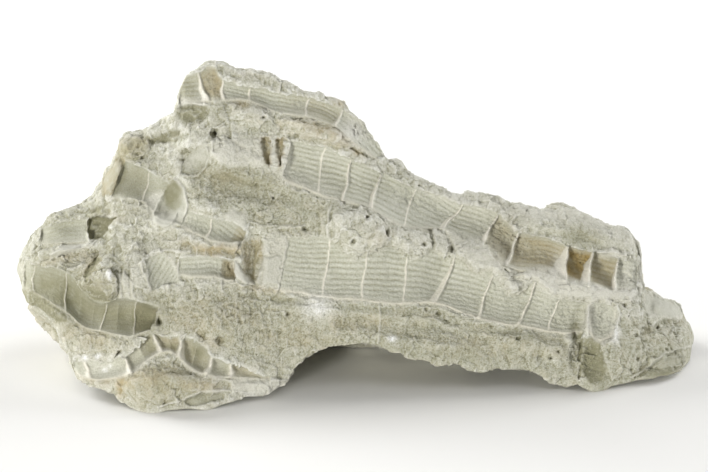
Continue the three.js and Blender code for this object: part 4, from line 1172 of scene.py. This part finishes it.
# olive spots: partly a greenish stain, partly painted shade, as on the knob's left side and under
# the ledge below the pale band
OLIVE = [
    (240, 182, 60, 12, 12, 0.35), (330, 121, 8, 5, 20, 0.5), (592, 358, 12, 20, 0, 0.5),
    (662, 374, 22, 5, -8, 0.7), (582, 236, 20, 9, 15, 0.4), (165, 136, 18, 5, -15, 0.4),
    (430, 352, 90, 8, 6, 0.25), (120, 262, 8, 16, 15, 0.4), (112, 244, 14, 12, 0, 0.5),
    (40, 312, 20, 6, 25, 0.5), (98, 296, 14, 4, 5, 0.6), (147, 317, 12, 18, 0, 0.85),
    (46, 284, 26, 20, 20, 0.85), (62, 233, 24, 9, 0, 0.35), (88, 306, 30, 20, 15, 0.85),
    (122, 318, 16, 18, 0, 0.7), (135, 184, 26, 22, 20, 0.6), (170, 193, 9, 10, 0, 0.6),
    (70, 290, 20, 16, 20, 0.35), (147, 318, 14, 18, 0, 0.4), (165, 384, 36, 16, 0, 0.45),
    (198, 351, 7, 10, -30, 0.9), (172, 347, 10, 5, 0, 0.8), (151, 348, 7, 8, 0, 0.6),
    (188, 90, 13, 14, 0, 0.6), (40, 250, 18, 12, -20, 0.4), (60, 216, 30, 9, -20, 0.4),
    (40, 300, 30, 10, 40, 0.3), (218, 110, 12, 9, 0, 0.4), (130, 150, 20, 10, -10, 0.3),
    (100, 210, 14, 6, 0, 0.4),
]
CRYSTAL = [
    (318, 308, 15, 13, 0, 0.7), (392, 338, 4, 3, 0, 1.2), (85, 357, 3, 3, 0, 1),
    (98, 355, 3, 2.4, 0, 1), (105, 370, 3, 2.4, 0, 0.9), (110, 366, 2, 2, 0, 0.8),
    (616, 336, 4, 9, 0, 0.6), (250, 396, 10, 3, 0, 0.4),
]
CHALK = [
    (352, 128, 12, 16, 20, 0.4), (226, 150, 34, 12, 15, 0.3), (274, 152, 4, 18, 0, 0.7),
    (288, 158, 4, 22, 8, 0.7), (142, 205, 10, 8, 0, 0.4), (154, 203, 9, 9, 0, 0.8),
    (165, 219, 14, 8, 0, 0.9), (262, 388, 28, 6, -8, 0.5), (300, 184, 30, 6, 18, 0.4),
    (604, 320, 14, 16, 0, 0.4), (545, 212, 52, 9, 6, 0.9), (612, 232, 26, 9, 25, 0.6),
    (472, 250, 30, 9, 25, 0.5), (580, 288, 60, 7, 8, 0.5), (440, 196, 30, 5, 12, 0.5),
    (103, 368, 17, 11, 0, 0.6), (355, 128, 14, 16, 30, 0.5), (465, 200, 30, 9, 10, 0.4),
    (627, 275, 9, 15, 0, 0.6), (557, 262, 7, 14, 20, 0.6), (560, 290, 40, 12, 12, 0.35),
    (203, 96, 5, 9, -20, 0.6),
]


def proud_of(points, normals, reach, size):
    """Above 0.5 where the surface stands proud of its surroundings, below where it is sunk."""
    proud = ((points - blur_points(points, reach)) * normals).sum(axis=-1)
    return np.clip(0.5 + proud / size, 0, 1)


# proud (lumps) and peak (single grains) paint shade into hollows and highlight onto proud places:
# painted shade and painted highlight
masks = {"proud": proud_of(ring, outward, 8, 0.9), "peak": proud_of(ring, outward, 2, 0.16)}
spot_rows = {"stain": STAINS, "olive": OLIVE, "chalk": CHALK, "crystal": CRYSTAL}
soil = np.clip(0.5 + fractal(ring + 91, 9, 3), 0.1, 1.2) * behind
elsewhere = {"matrix": 0.5, "rib": 0.5, "olive": 0.45 * soil, "stain": 0.3 * (1.2 - soil) * behind}
paint["wall"] = wall
for name, values in paint.items():
    values = values + spots(spot_rows.get(name, []), face_across, face_down, 1)
    full = np.zeros(ring.shape[:2]) + elsewhere.get(name, 0)
    full[:, : FACE_ROWS + 1] = values
    full[:, -1] = full[:, 0]
    masks[name] = np.clip(full, 0, 1)
print("masks:", sorted(masks))

# %% [markdown]
# ## From a grid to solid slices
# A grid is a good start for any surface that can be counted in rows and columns. The bmesh
# operator makes it flat, and each of its vertices then moves to the point that belongs to its
# row and column. The rings close by merging the seam. The grid is so fine that one mesh would be
# too heavy, so the block is five slices. Each slice's cut is capped, and neighbours share the
# same ring of points, so that no line shows between them. The masks go along as attributes.

# %% Slices
SLICES = ["left_end", "left_foot", "arch", "middle", "right_end"]
SEAM = 1e-7  # m, between points that are merged


def grid_slice(name, points, masks):
    """A closed slice of the block from its rings of points in mm."""
    columns, rows = points.shape[:2]
    bm = bmesh.new()
    bmesh.ops.create_grid(bm, x_segments=columns - 1, y_segments=rows - 1, size=1)
    mesh = bpy.data.meshes.new(name)
    bm.to_mesh(mesh)
    bm.free()
    flat = np.empty(len(mesh.vertices) * 3)
    mesh.vertices.foreach_get("co", flat)
    share = (flat.reshape(-1, 3) + 1) / 2  # the flat grid reaches from -1 to 1
    i = np.rint(share[:, 0] * (columns - 1)).astype(int)
    j = np.rint(share[:, 1] * (rows - 1)).astype(int)
    moved = (points[i, j] + BLOCK_SHIFT) * MM
    mesh.vertices.foreach_set("co", moved.astype(np.float32).ravel())
    for mask, values in masks.items():
        layer = mesh.attributes.new(mask, "FLOAT", "POINT")
        layer.data.foreach_set("value", values[i, j].astype(np.float32))
    bm = bmesh.new()
    bm.from_mesh(mesh)
    bmesh.ops.remove_doubles(bm, verts=bm.verts, dist=SEAM)
    cut = [edge for edge in bm.edges if edge.is_boundary]
    bmesh.ops.holes_fill(bm, edges=cut, sides=0)
    bmesh.ops.recalc_face_normals(bm, faces=bm.faces)
    for face in bm.faces:
        face.smooth = len(face.verts) <= 4  # all but the two caps
    for edge in cut:
        edge.smooth = False
    bm.to_mesh(mesh)
    bm.free()
    piece = bpy.data.objects.new(name, mesh)
    bpy.context.collection.objects.link(piece)
    return piece


cuts = np.linspace(0, COLUMNS - 1, len(SLICES) + 1).astype(int)
pieces = []
for name, first, last in zip(SLICES, cuts, cuts[1:]):
    rings = slice(first, last + 1)
    piece = grid_slice(name, ring[rings], {key: value[rings] for key, value in masks.items()})
    pieces.append(piece)
    print(name, len(piece.data.polygons), "faces")

# %% [markdown]
# ## Shader helpers
# Shader maths reads best as maths. A small class wraps a socket, so that adding or multiplying
# two of them adds a Math node, and one method makes any other node.

# %% Shader helpers
class Value:
    """A socket that does arithmetic."""

    def __init__(self, shader, socket):
        self.shader, self.socket = shader, socket

    def math(self, operation, *others):
        """A Math node on this value and the others."""
        inputs = dict(enumerate((self, *others)))
        return self.shader.node("ShaderNodeMath", {"operation": operation}, inputs)

    def __add__(self, other):
        return self.math("ADD", other)

    __radd__ = __add__

    def __mul__(self, other):
        return self.math("MULTIPLY", other)

    __rmul__ = __mul__

    def __sub__(self, other):
        return self.math("SUBTRACT", other)

    def __rsub__(self, other):
        return (self * -1) + other

    def clamp(self):
        """The value kept between 0 and 1."""
        return self.math("MAXIMUM", 0.0).math("MINIMUM", 1.0)


class Shader:
    """A material's node tree, with one method for any node."""

    def __init__(self, name, roughness):
        self.material = bpy.data.materials.new(name)
        self.material.use_nodes = True
        self.tree = self.material.node_tree
        self.surface = self.tree.nodes["Principled BSDF"]
        self.surface.inputs["Roughness"].default_value = roughness

    def node(self, kind, settings, inputs, output=0):
        """A node with its settings and, by name or number, its sockets' values or links."""
        made = self.tree.nodes.new(kind)
        for key, value in settings.items():
            if key == "stops":
                while len(made.color_ramp.elements) < len(value):
                    made.color_ramp.elements.new(0.5)
                for element, (position, colour) in zip(made.color_ramp.elements, value):
                    element.position, element.color = position, colour
            else:
                setattr(made, key, value)
        for key, value in inputs.items():
            if isinstance(value, Value):
                self.tree.links.new(value.socket, made.inputs[key])
            else:
                made.inputs[key].default_value = value
        return Value(self, made.outputs[output])

    def attribute(self, name):
        """One of the masks that the mesh carries."""
        return self.node("ShaderNodeAttribute", {"attribute_name": name}, {}, "Fac")

    def texture(self, kind, size_mm, settings, inputs, output=0):
        """A texture of real size, fixed to the object."""
        where = self.node("ShaderNodeTexCoord", {}, {}, "Object")
        inputs = {"Vector": where, "Scale": 1 / (size_mm * MM), **inputs}
        return self.node(kind, settings, inputs, output)

    def noise(self, size_mm, detail=3, roughness=0.5):
        """Soft lumps of about a size."""
        inputs = {"Detail": detail, "Roughness": roughness}
        return self.texture("ShaderNodeTexNoise", size_mm, {"noise_dimensions": "3D"}, inputs)

    def cells(self, size_mm):
        """Distance from the middle of the nearest cell."""
        return self.texture("ShaderNodeTexVoronoi", size_mm, {"feature": "F1"}, {}, "Distance")

    def ramp(self, share, *stops):
        """A colour from a row of colours."""
        return self.node("ShaderNodeValToRGB", {"stops": stops}, {0: share.clamp()})

    def mix(self, share, a, b):
        """A colour between two colours."""
        return self.node("ShaderNodeMix", {"data_type": "RGBA"}, {0: share, 6: a, 7: b}, 2)

    def link(self, value, name):
        """Leads a value into one of the surface's sockets."""
        self.tree.links.new(value.socket, self.surface.inputs[name])

    def bump(self, height, distance_mm, strength):
        """Relief too fine for the mesh."""
        inputs = {"Strength": strength, "Distance": distance_mm * MM, "Height": height}
        self.link(self.node("ShaderNodeBump", {}, inputs), "Normal")

print("a shader makes:", ", ".join(name for name in vars(Shader) if name[0] != "_"))

# %% [markdown]
# ## Colours
# Colours are easiest to pick as they should look on screen. The shader wants them as amounts of
# light, so a function turns the one into the other.

# %% Colours
IN_STRONG_LIGHT = (0.9, 0.91, 0.95)  # the studio light is strong, so the stone itself is darker


def srgb(red, green, blue):
    """A colour given as it should look on screen, in the scene's linear values."""
    linear = [((v / 255 + 0.055) / 1.055) ** 2.4 for v in (red, green, blue)]
    return *(share * v for share, v in zip(IN_STRONG_LIGHT, linear)), 1


print("a middle grey:", [round(v, 3) for v in srgb(128, 128, 128)])

# %% [markdown]
# ## Limestone
# Broken limestone is a pale, slightly green grey, speckled by its crystal grains. Hollows are
# painted darker and browner as shade, and proud places paler as highlight. The moulds' walls are
# finer: darker in the grooves between the ribs, as painted shade, and palest on the tabulae and
# along the rims. Some chambers hold brown iron stain. Olive is partly a greenish stain and partly
# painted shade, and small near-white specks are painted glints. The grain also shows as a fine
# bump, below the size that the mesh can hold.

# %% Limestone material
def limestone():
    """The whole block's material."""
    s = Shader("limestone", 0.9)
    proud, peak, matrix = s.attribute("proud"), s.attribute("peak"), s.attribute("matrix")
    stain, olive, chalk = s.attribute("stain"), s.attribute("olive"), s.attribute("chalk")
    broad, speckle = s.noise(5), s.noise(0.3, roughness=0.7)
    tint, mottle = s.noise(1.8, 4, 0.6), s.noise(0.9, 4, 0.6)
    # proud and peak lighten proud places and darken hollows: painted highlight and painted shade
    tone = proud * 0.4 + peak * 0.28 + broad * 0.2 + mottle * 0.75 + speckle * 1.25
    colour = s.ramp(
        tone - matrix * 0.16 - 0.865,
        (0, srgb(120, 116, 90)), (0.25, srgb(160, 158, 134)), (0.5, srgb(191, 189, 170)),
        (0.75, srgb(210, 208, 193)), (1, srgb(230, 229, 218)),
    )
    warm = ((tint * 3 - 1.4).clamp() * (0.2 + matrix * 0.2)).clamp()
    colour = s.mix(warm, colour, srgb(184, 174, 142))
    green = ((s.noise(2.6, 4) * 3.4 - 1.75).clamp() * (0.15 + matrix * 0.3)).clamp()
    colour = s.mix(green, colour, srgb(158, 159, 136))
    brown_stain = (stain * (tint * 2.4 - 0.5)).clamp()
    colour = s.mix(brown_stain, colour, srgb(178, 160, 118))
    white = (chalk * (speckle + 0.2)).clamp()
    colour = s.mix(white, colour, srgb(217, 214, 200))
    colour = s.mix(s.attribute("smooth") * 0.6, colour, srgb(190, 189, 174))
    wall = s.attribute("wall")
    colour = s.mix(wall, colour, corallite_wall(s, speckle, broad))
    # olive: a greenish stain, and painted shade in hollows and under overhangs; less of it on
    # proud grains and on tabulae
    olive_stain_and_shade = olive * (1.15 - peak * 0.5) * (1 - s.attribute("tabula") * 0.6)
    colour = s.mix((olive_stain_and_shade * (tint + 0.5)).clamp(), colour, srgb(146, 143, 114))
    colour = s.mix((chalk * wall * speckle * 1.2).clamp(), colour, srgb(232, 229, 216))
    rims = (s.attribute("rim") * (speckle * 0.9 + 0.3)).clamp()
    colour = s.mix(rims, colour, srgb(218, 213, 195))
    # painted glints: near-white specks in the colour, where crystal faces would catch the light;
    # the same specks are a little less rough
    painted_glint = (0.2 - s.cells(0.4)).math("MAXIMUM", 0.0) * 3 * (1 - wall * 0.6)
    colour = s.mix((painted_glint * s.noise(2.5)).clamp(), colour, srgb(238, 237, 230))
    calcite = (s.attribute("crystal") * (speckle * 2.2 - 0.3)).clamp()
    colour = s.mix(calcite, colour, srgb(252, 251, 247))
    s.link(colour, "Base Color")
    s.link((0.95 - painted_glint * 0.3 - calcite * 0.4).clamp(), "Roughness")
    grit_bump = s.noise(0.22, roughness=0.6) + s.cells(0.26) * 0.5
    s.bump(grit_bump * (1 - s.attribute("smooth") * 0.6), 0.12, 0.8)
    return s.material


def corallite_wall(s, speckle, broad):
    """The colour of the moulds' walls."""
    rib, brown, worn = s.attribute("rib"), s.attribute("brown"), s.attribute("worn")
    # darker in the grooves between the ribs (low rib): painted shade
    colour = s.ramp(
        rib * 0.42 + broad * 0.3 + speckle * 0.9 + worn * 0.06 - 0.435,
        (0, srgb(150, 147, 122)), (0.3, srgb(186, 185, 165)), (0.62, srgb(210, 209, 194)),
        (1, srgb(232, 230, 218)),
    )
    stain = (brown * (s.noise(1.5) * 1.2 + 0.35)).clamp()
    colour = s.mix(stain, colour, srgb(160, 141, 92))
    pale = (s.attribute("tabula") * (speckle * 0.9 + 0.6)).clamp()
    return s.mix(pale, colour, srgb(236, 231, 214))


stone = limestone()
for piece in pieces:
    piece.data.materials.append(stone)
print("limestone:", len(stone.node_tree.nodes), "nodes")

# %% [markdown]
# ## Handing the pieces to the block
# The block is one loose body, so every slice rides on it and stands for it.

# %% Ride and replace
for piece in pieces:
    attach(piece, "root")
    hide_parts("coral_block")
print("slices on root:", [piece.name for piece in pieces])

# %% [markdown]
# ## Floor, light and camera
# The block lies on white paper, as on a studio table. Two soft boxes above and behind it
# throw its soft shadow forwards. Two lower ones catch its ends, and two in front are a weak one
# from above and a far one that fills the hollows. White surroundings do the rest. A long lens
# from a little above keeps the block's proportions.

# %% Stage
PAPER = (0.88, 0.875, 0.86, 1)
AIM = Vector((0, 0, 0.02))  # m, the place that every lamp looks at
WHITE = (1, 1, 1)
LAMPS = [  # name, place in m, size in m, watts, colour
    ("softbox_left", (-0.45, 0.26, 0.32), 0.35, 2.7, WHITE),
    ("softbox_right", (0.45, 0.26, 0.32), 0.35, 2.15, WHITE),
    ("low_left", (-0.508, 0.293, 0.145), 0.35, 1.4, WHITE),
    ("low_right", (0.587, 0, 0.145), 0.35, 0.8, WHITE),
    ("high_front", (0.17, -0.3, 0.51), 0.35, 0.4, WHITE),
    ("fill_front", (-0.55, -1.06, 0.12), 0.22, 10.5, (1, 0.99, 0.94)),
]
SENSOR = 36  # mm


def in_scene(name, data):
    """A new object that shows some data."""
    made = bpy.data.objects.new(name, data)
    bpy.context.collection.objects.link(made)
    return made


def stage_floor():
    """A wide sheet of white paper."""
    bm = bmesh.new()
    bmesh.ops.create_grid(bm, x_segments=2, y_segments=2, size=3)
    mesh = bpy.data.meshes.new("table_top")
    bm.to_mesh(mesh)
    bm.free()
    paper = Shader("white_paper", 0.9)
    paper.surface.inputs["Base Color"].default_value = PAPER
    mesh.materials.append(paper.material)
    floor = in_scene("table_top", mesh)


def area_light(name, where, size, watts, colour):
    """A round soft lamp that looks at the block."""
    light = bpy.data.lights.new(name, "AREA")
    light.shape, light.size, light.energy, light.color = "DISK", size, watts, colour
    lamp = in_scene(name, light)
    lamp.location = where
    lamp.visible_camera = False
    lamp.rotation_euler = (AIM - lamp.location).to_track_quat("-Z", "Y").to_euler()


def surroundings():
    """White surroundings, weaker than the lamps."""
    world = bpy.data.worlds.new("studio")
    bpy.context.scene.world = world
    world.use_nodes = True
    background = world.node_tree.nodes["Background"]
    background.inputs["Color"].default_value = (1, 1, 0.98, 1)
    background.inputs["Strength"].default_value = 0.27
    bpy.context.scene.view_settings.view_transform = "Standard"


def camera():
    """A long lens square to the face sheet."""
    lens = bpy.data.cameras.new("camera")
    eye = [0, SHEET_RISE * SIN - TAPER_LENGTH * COS, SHEET_RISE * COS + TAPER_LENGTH * SIN]
    holder = in_scene("camera", lens)
    holder.location = Vector((np.array(eye) + BLOCK_SHIFT) * MM)
    holder.rotation_euler = (math.pi / 2 - LEAN, 0, 0)
    lens.sensor_width = SENSOR
    lens.lens = SENSOR * TAPER_LENGTH / (2 * SHEET_CENTRE[0] * UNIT)
    lens.clip_start, lens.clip_end = 0.01, 20
    bpy.context.scene.camera = holder
    print("lens:", round(lens.lens), "mm, lamps:", len(LAMPS))


stage_floor()
surroundings()
for row in LAMPS:
    area_light(*row)
camera()
